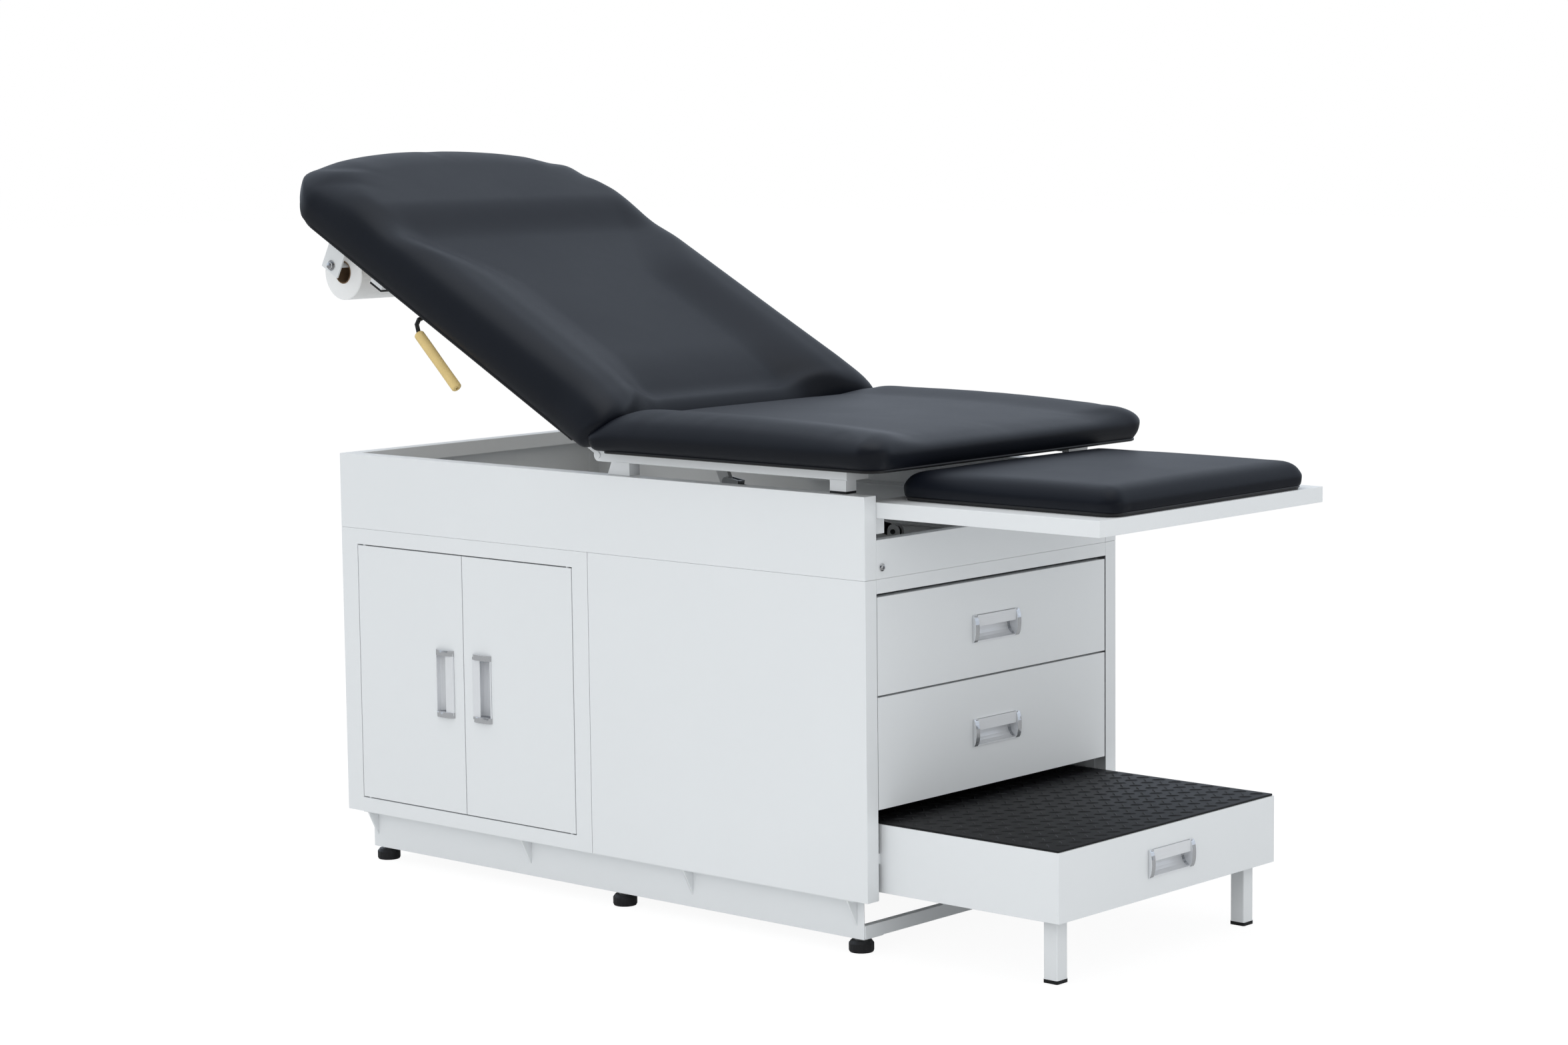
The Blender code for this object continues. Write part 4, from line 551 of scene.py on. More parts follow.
def seat_post_mask(finish, place):
    low = finish.axis(place, "Z") < RIM_TOP + POST_TIP
    return low * (finish.axis(place, "X") > FRONT_FACE - POST_REACH)


def stop_post_mask(finish, place):
    away = finish.vector("SUBTRACT", place, HINGE)
    along = finish.vector("DOT_PRODUCT", away, BACK_UP, "Value")
    out = finish.vector("DOT_PRODUCT", away, BACK_OUT, "Value")
    return (along > STOP_FROM) * (out < STOP_FACE)


def leg_tip_mask(finish, place):
    return finish.axis(place, "Z") < STEP_LEG_TIP


def vinyl(name, gloss):
    """Smooth upholstery vinyl: fine grain, soft gloss, slightly blue."""
    finish = Finish(name, Specular_IOR_Level=gloss)
    place = finish.place()
    cloud = finish.noise(place, 6.0, 3.0)
    finish.set("Colour", finish.tones(cloud, colours().vinyl, 0.90, 1.12))
    grain = finish.cells(place, 900.0)
    pores = finish.noise(place, 420.0, 3.0)
    finish.set("Roughness", 0.40 + 0.08 * cloud + 0.05 * pores)
    creep = finish.noise(place, 34.0)
    finish.bump(grain.ramp(0.0, 0.25) * 0.5 + pores * 0.6 + creep * 2.0, 0.16, 0.0005)
    return finish.material


def piping_vinyl():
    finish = Finish("piping_vinyl", Roughness=0.34)
    grain = finish.noise(finish.place(), 900.0)
    finish.set("Colour", finish.tones(grain, colours().piping, 0.8, 1.3))
    finish.bump(grain, 0.12, 0.0003)
    return finish.material


def rubber(name):
    finish = Finish(name, Specular_IOR_Level=0.34)
    place = finish.place()
    dust = finish.noise(place, 55.0, 4.0, 0.6)
    finish.set("Colour", finish.tones(dust, colours().piping, 0.6, 1.3))
    finish.set("Roughness", 0.52 + 0.16 * dust)
    finish.bump(finish.noise(place, 1100.0), 0.18, 0.0004)
    return finish.material


def foot_finish():
    """Black rubber foot on a zinc stem."""
    finish = Finish("foot_rubber_and_zinc")
    place = finish.place()
    height = finish.axis(place, "Z")
    stem = height > STEM_FROM
    dust = finish.noise(place, 60.0, 4.0, 0.6)
    black = finish.tones(dust, colours().piping, 0.9, 1.8)
    finish.set("Colour", finish.mix(stem, black, (0.62, 0.62, 0.60)))
    finish.set("Metallic", stem)
    finish.set("Roughness", 0.30 + 0.14 * dust)
    finish.bump((height * STEM_THREAD).sine() * stem, 0.35, 0.0004)
    return finish.material


def pull_finish(name, axis, middle, reach):
    """Satin aluminium, brushed along its length, with bright end caps."""
    finish = Finish(name)
    place = finish.place()
    cap = abs(finish.axis(place, axis) - middle).ramp(reach - PULL_CAP_LINE, reach)
    scale = [2400.0, 2400.0, 2400.0]
    scale["XYZ".index(axis)] = 30.0
    brush = finish.noise(finish.vector("MULTIPLY", place, scale), 1.0)
    body = finish.tones(brush, colours().silver, 0.93, 1.05)
    finish.set("Colour", finish.mix(cap, body, PULL_CAP_COLOUR))
    finish.set("Roughness", (0.26 + 0.12 * brush) * (1.0 - cap) + 0.11 * cap)
    finish.set("Metallic", 0.24 + 0.54 * cap)
    finish.bump(brush * (1.0 - cap), 0.10, 0.0002)
    return finish.material


def bright_metal():
    finish = Finish("screw_steel", Metallic=1.0)
    cloud = finish.noise(finish.place(), 180.0)
    finish.set("Colour", finish.mix(cloud, (0.70, 0.70, 0.71), (0.80, 0.80, 0.81)))
    finish.set("Roughness", 0.12 + 0.10 * cloud)
    return finish.material


def rod_steel():
    """Ground rod with a thin film of oil."""
    finish = Finish("rod_steel", Metallic=0.8)
    cloud = finish.noise(finish.place(), 90.0, 3.0)
    finish.set("Colour", finish.mix(cloud, (0.30, 0.31, 0.32), (0.40, 0.41, 0.42)))
    finish.set("Roughness", 0.26 + 0.12 * cloud)
    return finish.material


def black_metal():
    finish = Finish("black_metal")
    place = finish.place()
    cloud = finish.noise(place, 70.0, 3.0)
    finish.set("Colour", finish.mix(cloud, (0.010, 0.010, 0.010), (0.022, 0.022, 0.023)))
    finish.set("Roughness", 0.32 + 0.14 * cloud)
    finish.bump(finish.noise(place, 900.0), 0.10, 0.0003)
    return finish.material


def foam():
    """Closed-cell foam sleeve."""
    finish = Finish("cream_foam", Roughness=0.72)
    place = finish.place()
    cells = finish.noise(place, 1500.0, 3.0, 0.6)
    wear = finish.noise(place, 40.0, 3.0)
    colour = colours().foam
    tone = finish.tones(wear, colour, 0.88, 1.08)
    finish.set("Colour", finish.mix(cells.ramp(0.25, 0.45), shade(colour, 0.90), tone))
    finish.bump(cells + wear * 2.0, 0.20, 0.0004)
    return finish.material


def roll_paper():
    """Paper with the rings of its windings on the ends, and a cardboard core."""
    finish = Finish("roll_paper", Roughness=0.78)
    place = finish.place()
    away = finish.vector("SUBTRACT", place, PAPER_AXIS)
    x = finish.axis(away, "X")
    z = finish.axis(away, "Z")
    radius = (x * x + z * z).root()
    core = 1.0 - radius.ramp(PAPER_CORE + PAPER_CARD + 0.0001, PAPER_CORE + PAPER_CARD + 0.0005)
    rings = (radius * PAPER_RINGS).sine() * 0.5 + 0.5
    fibre = finish.noise(place, 240.0, 3.0, 0.6)
    sheet = finish.tones(rings * 0.5 + fibre * 0.5, colours().paper, 0.94, 1.03)
    card = finish.mix(fibre, (0.150, 0.090, 0.048), (0.235, 0.150, 0.085))
    finish.set("Colour", finish.mix(core, sheet, card))
    finish.bump(rings * 0.6 + fibre, 0.20, 0.0004)
    return finish.material


def plywood(name, colour):
    finish = Finish(name)
    grain = finish.noise(finish.vector("MULTIPLY", finish.place(), (3.0, 60.0, 60.0)), 1.0, 4.0, 0.6)
    finish.set("Colour", finish.tones(grain, colour, 0.72, 1.12))
    finish.set("Roughness", 0.58 + 0.14 * grain)
    finish.bump(grain, 0.20, 0.0006)
    return finish.material


def smooth(low, high, value):
    """0 below low, 1 above high, and an even curve between."""
    share = min(max((value - low) / (high - low), 0.0), 1.0)
    return share * share * (3.0 - 2.0 * share)


def bell(offset, width):
    """1 at no offset, and an even fall on both sides."""
    return math.exp(-((offset / width) ** 2))


def edge_round(distance, width):
    """Height share of a rolled edge at a distance in from it."""
    share = min(max(distance / width, 0.0), 1.0)
    return math.sqrt(max(1.0 - (1.0 - share) ** 2, 0.0))


def rim_distance(along, across, radius):
    """Distance in from a rim with a rounded corner."""
    if along < radius and across < radius:
        return radius - math.hypot(radius - along, radius - across)
    return min(along, across)


def dress(node, finish):
    """Gives a solid its finish."""
    slots = frame["nodes"][node].data.materials
    slots.clear()
    slots.append(finish)


def soften(node, width):
    """Rounds the folds of a sheet part by a small even bevel."""
    item = frame["nodes"][node]
    joined = item.modifiers.new("joined", "WELD")
    joined.merge_threshold = 0.00002
    fold = item.modifiers.new("fold", "BEVEL")
    fold.width = width
    fold.segments = 2
    fold.limit_method = "ANGLE"
    fold.angle_limit = math.radians(35.0)


def new_piece(name, mesh, finish):
    """An object of its own with one finish."""
    made = bpy.data.objects.new(name, mesh)
    bpy.context.scene.collection.objects.link(made)
    mesh.materials.clear()
    mesh.materials.append(finish)
    return made


def shape_mesh(name, shape, smooth_shading=True):
    """Turns a shape into a mesh with its faces outwards."""
    bmesh.ops.recalc_face_normals(shape, faces=shape.faces[:])
    for face in shape.faces:
        face.smooth = smooth_shading
    mesh = bpy.data.meshes.new(name)
    shape.to_mesh(mesh)
    shape.free()
    return mesh


def crisp(piece, angle):
    """Keeps sharp edges sharp under smooth shading."""
    piece.data.set_sharp_from_angle(angle=math.radians(angle))


def stand(mesh, place, axis):
    """Sets a turned piece on a place, along an axis."""
    turn = Vector(axis).to_track_quat("Z", "Y").to_matrix().to_4x4()
    mesh.transform(Matrix.Translation(Vector(place)) @ turn)


def skin(shape, rows, around, onward):
    """Faces between rows of points. A row closes on itself where it goes around, and the last row meets the
    first where the rows go onward."""
    pairs = list(zip(rows, rows[1:])) + ([(rows[-1], rows[0])] if onward else [])
    for one, two in pairs:
        count = len(one)
        for k in range(count if around else count - 1):
            after = (k + 1) % count
            shape.faces.new((one[k], two[k], two[after], one[after]))


def tube(name, points, radius, closed):
    """A round tube along a line of points."""
    shape = bmesh.new()
    rows = []
    count = len(points)
    up = Vector((0.0, 0.0, 1.0))
    turns = [math.tau * k / TUBE_SIDES for k in range(TUBE_SIDES)]
    for i, point in enumerate(points):
        before = points[i - 1] if closed or i else points[0]
        after = points[(i + 1) % count] if closed or i + 1 < count else points[-1]
        along = (after - before).normalized()
        side = along.cross(up).normalized() * radius
        lift = side.cross(along)
        rows.append([shape.verts.new(point + side * math.cos(a) + lift * math.sin(a)) for a in turns])
    skin(shape, rows, True, closed)
    if not closed:
        shape.faces.new(rows[0])
        shape.faces.new(rows[-1])
    return shape_mesh(name, shape)


def turned(name, profile, steps):
    """A round piece: its half section, turned about Z."""
    shape = bmesh.new()
    rows = []
    for i in range(steps):
        turn = math.tau * i / steps
        rows.append([shape.verts.new((r * math.cos(turn), r * math.sin(turn), z)) for r, z in profile])
    skin(shape, rows, False, True)
    bmesh.ops.remove_doubles(shape, verts=shape.verts[:], dist=1e-7)
    return shape_mesh(name, shape)


def border(corners, steps):
    """Points along a line through corners of a plan."""
    line = []
    for (u, v), (to_u, to_v) in zip(corners, corners[1:]):
        line += [(u + (to_u - u) * i / steps, v + (to_v - v) * i / steps) for i in range(steps)]
    return line + [corners[-1]]


def round_corner(along, across, radius):
    """Draws a point in the square at a corner onto the quarter round of that corner."""
    if along <= 0.0 or across <= 0.0:
        return along, across
    bent_along = along * math.sqrt(1.0 - (across / radius) ** 2 / 2.0)
    bent_across = across * math.sqrt(1.0 - (along / radius) ** 2 / 2.0)
    return bent_along, bent_across


def rounded_plan(low, high, half, radius_low, radius_high):
    """Plan of a rectangular pad from low to high along X, with rounded corners."""
    centre = (low + high) / 2
    reach = (high - low) / 2

    def plan(u, v):
        x = u * reach
        y = v * half
        radius = radius_low if x < 0.0 else radius_high
        inner_x = min(max(x, radius_low - reach), reach - radius_high)
        inner_y = min(max(y, radius - half), half - radius)
        along, across = round_corner(abs(x - inner_x), abs(y - inner_y), radius)
        return centre + inner_x + math.copysign(along, x), inner_y + math.copysign(across, y)

    return plan


def pad_rings(bulge, inset, rise):
    """Rings of a pad's side: from its widest line round to its base, under to its board and up past it.
    Each has a push outwards, a share of the height of the widest line and a rise."""
    rings = []
    for share in SIDE_SHARES:
        rings.append((-bulge * (1.0 - math.sqrt(1.0 - (1.0 - share) ** 2)), share, 0.0))
    edge = -bulge - inset
    return rings + [(edge / 2 - bulge / 2, 0.0, 0.0), (edge, 0.0, 0.0), (edge, 0.0, rise)]


def pad_count(length):
    """How many steps the mesh of a pad takes over a length."""
    return max(8, round(length / bpy.context.scene.pad_sizes.mesh))


def keep_order(shape):
    """Puts edges and faces in the order of their points, so that each run fills the same mesh."""
    shape.verts.index_update()
    count = len(shape.verts)

    def rank(item):
        lowest = sorted(vertex.index for vertex in item.verts)[:3]
        return sum(index * count**power for power, index in enumerate(reversed(lowest)))

    shape.edges.sort(key=rank)
    shape.faces.sort(key=rank)


def cushion(name, plan, top, base, rings, lean, segments):
    """A closed pad: a grid on its plan raised to its top, then rings down its side, in under its rim and
    up round the board it is stapled to. Gives the mesh and the count of points in its top and in a ring."""
    shape = bmesh.new()
    bmesh.ops.create_grid(shape, x_segments=segments[0], y_segments=segments[1], size=1.0)
    outward = shape.verts.layers.float_vector.new("outward")
    rim_place = shape.verts.layers.float_vector.new("rim")
    for vertex in shape.verts:
        x, y = plan(vertex.co.x, vertex.co.y)
        vertex.co = (x, y, top(x, y))
    on_top = len(shape.verts)
    rim = [edge for edge in shape.edges if edge.is_boundary]
    middle = sum((vertex.co for vertex in shape.verts), Vector()) / on_top
    for vertex in {end for edge in rim for end in edge.verts}:
        near = [edge.other_vert(vertex).co for edge in vertex.link_edges if edge.is_boundary]
        along = near[1] - near[0]
        out = Vector((along.y, -along.x, 0.0)).normalized()
        vertex[outward] = out if out.dot(vertex.co - middle) > 0 else -out
        vertex[rim_place] = vertex.co
    for push, share, rise in rings:
        made = bmesh.ops.extrude_edge_only(shape, edges=rim)["geom"]
        rim = [item for item in made if isinstance(item, bmesh.types.BMEdge) and item.is_boundary]
        for vertex in {end for edge in rim for end in edge.verts}:
            vertex.co = vertex[rim_place] + vertex[outward] * push
            vertex.co.z = base + share * (vertex[rim_place].z - base) + rise
    in_ring = len(rim)
    closing = bmesh.ops.holes_fill(shape, edges=rim, sides=0)["faces"]
    bmesh.ops.triangulate(shape, faces=closing)
    for vertex in shape.verts:
        vertex.co.x += lean(vertex.co)
    for layer in ("outward", "rim"):
        shape.verts.layers.float_vector.remove(shape.verts.layers.float_vector[layer])
    keep_order(shape)
    return shape_mesh(name, shape), on_top, in_ring


def upright(place):
    """No lean at any place."""
    return 0.0


def pucker(mesh, on_top, in_ring, corners, depth):
    """Small upright folds where the cover is drawn round a corner."""
    for vertex in mesh.vertices[on_top : on_top + len(FOLD_SHARES) * in_ring]:
        share = FOLD_SHARES[(vertex.index - on_top) // in_ring]
        for x, y, span in corners:
            away = Vector((vertex.co.x - x, vertex.co.y - y, 0.0))
            turn = math.atan2(away.y, away.x)
            near = math.exp(-((away.length / span) ** 4))
            wave = max(0.0, math.sin(turn * 19.0)) ** 2 + 0.6 * max(0.0, math.sin(turn * 31.0 + 1.3)) ** 2
            vertex.co -= away.normalized() * depth * share * near * wave


def points_of(mesh):
    places = np.empty(len(mesh.vertices) * 3)
    mesh.vertices.foreach_get("co", places)
    return places.reshape(-1, 3)


def fill_pad(pad, held, free):
    """Swells a pad with Blender's cloth under pressure, its stapled edge held, and caps the movement."""
    sizes = bpy.context.scene.pad_sizes
    group = pad.vertex_groups.new(name="held")
    group.add(held, 1.0, "REPLACE")
    start = points_of(pad.data)
    cloth = pad.modifiers.new("filling", "CLOTH")
    for key, value in COVER_CLOTH.items():
        setattr(cloth.settings, key, value)
    cloth.settings.vertex_group_mass = "held"
    cloth.settings.uniform_pressure_force = sizes.pressure
    cloth.settings.effector_weights.gravity = 0.0
    cloth.collision_settings.use_collision = False
    scene = bpy.context.scene
    for step in range(1, COVER_FRAMES + 1):
        scene.frame_set(step)
    shaped = pad.evaluated_get(bpy.context.evaluated_depsgraph_get())
    moved = points_of(shaped.data) - start
    reach = np.linalg.norm(moved, axis=1, keepdims=True)
    moved *= np.minimum(1.0, sizes.swell / np.maximum(reach, 1e-9))
    moved *= [[free(x)] for x in start[:, 0]]
    pad.modifiers.remove(cloth)
    scene.frame_set(1)
    pad.data.vertices.foreach_set("co", (start + moved).ravel())
    pad.data.update()


def divide(pad):
    """One subdivision, applied, so that the mesh is final."""
    step = pad.modifiers.new("divided", "SUBSURF")
    step.levels = 1
    step.render_levels = 1
    bpy.context.view_layer.update()
    shaped = pad.evaluated_get(bpy.context.evaluated_depsgraph_get())
    mesh = bpy.data.meshes.new_from_object(shaped)
    old = pad.data
    pad.modifiers.clear()
    pad.data = mesh
    bpy.data.meshes.remove(old)
    mesh.name = pad.name


def finish_pad(pad, on_top, in_ring, free):
    held = list(range(on_top + (len(SIDE_SHARES) - 1) * in_ring, len(pad.data.vertices)))
    fill_pad(pad, held, free)
    divide(pad)


def seat_form(sizes):
    """Plan and top of the seat pad, its two ends along X and its half width."""
    low = MEET_X + MEET_GAP
    high = SEAT_FRONT + sizes.bulge
    half = SEAT_BOX[1].y
    rim = SEAT_BASE + SEAT_RIM * (SEAT_PEAK - SEAT_BASE)
    inner = half - sizes.bolster

    def top(x, y):
        side = smooth(inner - SEAT_ROLL_IN, inner + SEAT_ROLL_OUT, abs(y))
        fall = SEAT_FALL * (max(x - SEAT_FALL_FROM, 0.0) / (high - SEAT_FALL_FROM)) ** 2
        level = SEAT_PEAK - sizes.dip * (1.0 - side) - fall
        corner = (sizes.corner + sizes.edge) / 2
        away = rim_distance((high - x) * SEAT_FRONT_STEEP, half - abs(y), corner)
        rolled = rim + (level - rim) * edge_round(away, sizes.edge)
        meet = min(float(np.interp(abs(y), MEET_Y, MEET_SEAT)), rolled)
        return meet + (rolled - meet) * edge_round(x - low, sizes.sink)

    plan = rounded_plan(low, high, half, sizes.tight, sizes.corner)
    return plan, top, low, high, half


def seat_cushion(finish, black):
    """Seat pad, swelled, with its piping."""
    sizes = bpy.context.scene.pad_sizes
    plan, top, low, high, half = seat_form(sizes)
    rings = pad_rings(sizes.bulge, SEAM_INSET, BOARD + BOARD_OVERLAP)
    count = (pad_count(high - low), pad_count(2 * half))
    mesh, on_top, in_ring = cushion("seat_cushion", plan, top, SEAT_BASE, rings, upright, count)
    front = high - sizes.corner
    side = half - sizes.corner
    corners = [(front, y, SEAT_FOLD_SPAN) for y in (-side, side)]
    pucker(mesh, on_top, in_ring, corners, SEAT_FOLD_DEPTH)
    pad = new_piece("seat_cushion", mesh, finish)
    finish_pad(pad, on_top, in_ring, lambda x: smooth(low, low + SEAT_FREE, x))
    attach(pad, "case")
    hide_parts("seat_pad")
    inset = sizes.bulge + PIPING_INSET
    under = rounded_plan(low + inset, high - inset, half - inset, sizes.tight, sizes.corner - inset)
    edge = [under(u, v) for u, v in border(OPEN_BORDER, PIPING_STEPS)]
    line = [Vector((x, y, SEAT_BASE - SEAT_PIPING_DROP)) for x, y in edge]
    trim = new_piece("seat_piping", tube("seat_piping", line, sizes.piping, False), black)
    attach(trim, "case")


def head_edge(y, half, length):
    """How far up the backrest its bowed head end reaches at a distance from the middle."""
    return length - HEAD_RISE * min(abs(y) / half, 1.0) ** 2


def back_plan(half, start, length, tight):
    """Plan of the backrest pad: tight corners at the seam, and a bowed head end with rounded corners."""

    def plan(u, v):
        y = half * v
        end = head_edge(y, half, length)
        s = start + (u + 1.0) / 2.0 * (end - start)
        radius = tight if u < 0.0 else HEAD_CORNER
        inner_s = min(max(s, start + tight), end - HEAD_CORNER)
        inner_y = min(max(y, radius - half), half - radius)
        along, across = round_corner(abs(s - inner_s), abs(y - inner_y), radius)
        return -(inner_s + math.copysign(along, u)), inner_y + math.copysign(across, y)

    return plan


def back_top(sizes, half, rim):
    """Bolsters that run out to the edge, a lower panel with a lip at the seam and a head pillow, in one
    flowing surface."""

    def top(x, y):
        s = -x
        out = abs(y)
        inner = half - sizes.bolster + BOLSTER_WIDEN * smooth(*BOLSTER_WIDEN_SPAN, s)
        side = smooth(inner - BOLSTER_IN, inner + BOLSTER_OUT, out)
        lip = LIP_RISE * bell(s - LIP_AT, LIP_WIDTH) - HOLLOW_DEPTH * bell(s - HOLLOW_AT, HOLLOW_WIDTH)
        panel = BACK_PANEL - PANEL_FALL * (1.0 - smooth(0.0, PANEL_FALL_FROM, s)) + lip
        level = panel + (BACK_TOP - panel) * side
        level += (PILLOW_TOP - level) * smooth(*PILLOW_SPAN, s)
        level -= PILLOW_DROP * smooth(PILLOW_FLAT, half, out) * smooth(*PILLOW_DROP_SPAN, s)
        end = head_edge(y, half, BACK_LENGTH + sizes.bulge)
        away = rim_distance(end - s, half - out, HEAD_CORNER)
        roll = sizes.edge * (1.0 + smooth(*HEAD_ROLL_SPAN, s))
        rolled = rim + (level - rim) * edge_round(away, roll)
        meet = min(float(np.interp(out, MEET_Y, MEET_BACK)), rolled)
        sink = sizes.lip + (sizes.back_sink - sizes.lip) * smooth(*SINK_SPAN, out)
        return meet + (rolled - meet) * edge_round(s - BACK_START, sink)

    return top


def back_lean(place):
    """The panel's end leans back to the seam, and the rolls' ends stand forward over the seat."""
    slope = PANEL_LEAN + (BOLSTER_LEAN - PANEL_LEAN) * smooth(*LEAN_SPAN, abs(place.y))
    fade = 1.0 - smooth(BACK_START, BACK_START + LEAN_FADE, -place.x)
    return -slope * (place.z - BACK_BASE) * fade


def back_cushion(finish, black):
    """Backrest pad, swelled, bent at the hinge so that it stays against the seat, with its piping."""
    sizes = bpy.context.scene.pad_sizes
    half = SEAT_BOX[1].y
    rim = BACK_BASE + BACK_RIM * (BACK_TOP - BACK_BASE)
    plan = back_plan(half, BACK_START, BACK_LENGTH + sizes.bulge, sizes.tight)
    top = back_top(sizes, half, rim)
    rings = pad_rings(sizes.bulge, SEAM_INSET, BOARD + BOARD_OVERLAP)
    count = (pad_count(BACK_LENGTH - BACK_START), pad_count(2 * half))
    mesh, on_top, in_ring = cushion("back_cushion", plan, top, BACK_BASE, rings, back_lean, count)
    pad = new_piece("back_cushion", mesh, finish)
    finish_pad(pad, on_top, in_ring, lambda x: smooth(BACK_START, BACK_START + BACK_FREE, -x))
    pad.data.transform(BACK_FRAME)
    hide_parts("backrest_pad")
    side = half - sizes.bulge - PIPING_INSET
    under = back_plan(side, BACK_START + BACK_PIPING_START, BACK_LENGTH - PIPING_INSET, sizes.tight)
    edge = [under(u, v) for u, v in border(OPEN_BORDER, PIPING_STEPS)]
    line = [BACK_FRAME @ Vector((x, y, BACK_BASE + BACK_PIPING_RISE)) for x, y in edge]
    trim = new_piece("back_piping", tube("back_piping", line, sizes.piping, False), black)
    for item in (pad, trim):
        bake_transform(item)


def leg_cushion(finish, black):
    """Pad of the leg extension, swelled, with the dark band under its edge."""
    low = LEG_BOX[0].x
    high = LEG_FRONT + LEG_BULGE
    half = LEG_HALF + LEG_BULGE
    base = LEG_BOX[0].z + BAND_HEIGHT
    peak = LEG_BOX[1].z + LEG_PROUD
    rim = base + LEG_RIM * (peak - base)

    def top(x, y):
        reach = (2 * x - low - high) / (high - low)
        crown = LEG_CROWN * (1.0 - min(abs(y) / half, 1.0) ** 2) * (1.0 - reach**2)
        away = rim_distance(min(x - low, high - x), half - abs(y), LEG_EDGE_CORNER)
        return rim + (peak - LEG_CROWN + crown - rim) * edge_round(away, LEG_EDGE)

    plan = rounded_plan(low, high, half, LEG_CORNER, LEG_CORNER)
    rings = pad_rings(LEG_BULGE, LEG_INSET, LEG_OVERLAP)
    count = (pad_count(high - low), pad_count(2 * half))
    mesh, on_top, in_ring = cushion("leg_cushion", plan, top, base, rings, upright, count)
    ends = (low + LEG_FOLD_IN, high - LEG_FOLD_IN)
    sides = (LEG_FOLD_IN - half, half - LEG_FOLD_IN)
    corners = [(x, y, LEG_FOLD_SPAN) for x in ends for y in sides]
    pucker(mesh, on_top, in_ring, corners, LEG_FOLD_DEPTH)
    pad = new_piece("leg_cushion", mesh, finish)
    finish_pad(pad, on_top, in_ring, lambda x: LEG_FREE)
    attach(pad, "leg_extension")
    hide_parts("leg_pad")
    leg_band(low + LEG_BULGE, base, black)


def leg_band(low, top, black):
    """Dark base of the leg pad, drawn in under its edge, with piping above it."""
    radius = LEG_CORNER - BAND_INSET
    plan = rounded_plan(low + BAND_INSET, LEG_FRONT - BAND_INSET, LEG_HALF - BAND_INSET, radius, radius)
    edge = [plan(u, v) for u, v in border(CLOSED_BORDER, BAND_STEPS)[:-1]]
    shape = bmesh.new()
    rows = [[shape.verts.new((x, y, z)) for x, y in edge] for z in (LEG_BOX[0].z, top - BAND_GAP)]
    skin(shape, rows, True, False)
    for row in rows:
        shape.faces.new(row)
    band = new_piece("leg_band", shape_mesh("leg_band", shape, False), black)
    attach(band, "leg_extension")
    line = [Vector((x, y, top - LEG_PIPING_DROP)) for x, y in edge]
    trim = new_piece("leg_piping", tube("leg_piping", line, LEG_PIPING, True), black)
    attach(trim, "leg_extension")


def tread_bar(shape, x, y, turn, sizes, level):
    """One raised lens of the tread, a closed form sunk a little into the mat."""
    along = Vector((math.cos(turn), math.sin(turn), 0.0)) * sizes.length / 2
    across = Vector((-math.sin(turn), math.cos(turn), 0.0)) * sizes.width / 2
    centre = Vector((x, y, level))
    sunk = Vector((0.0, 0.0, -BAR_SUNK))
    ends = [shape.verts.new(centre + along * share + sunk) for share in (-1.0, 1.0)]
    ridge, left, right = ([ends[0]] for line in range(3))
    for share in BAR_STATIONS:
        spot = centre + along * share
        wide = across * (1.0 - share * share)
        ridge.append(shape.verts.new(spot + Vector((0.0, 0.0, sizes.height * (1.0 - share**4)))))
        left.append(shape.verts.new(spot - wide + sunk))
        right.append(shape.verts.new(spot + wide + sunk))
    for line in (ridge, left, right):
        line.append(ends[1])
    for side in (left, right):
        for k in range(len(ridge) - 1):
            corners = (ridge[k], ridge[k + 1], side[k + 1], side[k])
            shape.faces.new(tuple(dict.fromkeys(corners)))
    shape.faces.new(left + right[-2:0:-1])


def tread_mat(finish):
    """Rubber mat with raised bars set crosswise in turn."""
    sizes = bpy.context.scene.tread_sizes
    low, high = MAT_BOX
    level = high.z - MAT_DROP
    shape = bmesh.new()
    bmesh.ops.create_cube(shape, size=1.0)
    for vertex in shape.verts:
        for i in range(3):
            vertex.co[i] = low[i] if vertex.co[i] < 0 else (high[i] if i < 2 else level)
    bmesh.ops.bevel(shape, geom=shape.edges[:], offset=MAT_EDGE, segments=2, affect="EDGES", profile=0.5)
    half = sizes.pitch / 2
    rows = int((high.x - low.x - sizes.length) / half)
    columns = int((high.y - low.y - sizes.length) / half)
    middle = (low + high) / 2
    for i in range(rows + 1):
        turn = math.radians(45.0 if i % 2 else -45.0)
        for k in range(i % 2, columns + 1, 2):
            x = middle.x + (i - rows / 2) * half
            y = middle.y + (k - columns / 2) * half
            tread_bar(shape, x, y, turn, sizes, level)
    mat = new_piece("tread_mat", shape_mesh("tread_mat", shape), finish)
    crisp(mat, 50.0)
    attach(mat, "step")
    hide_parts("step_mat")


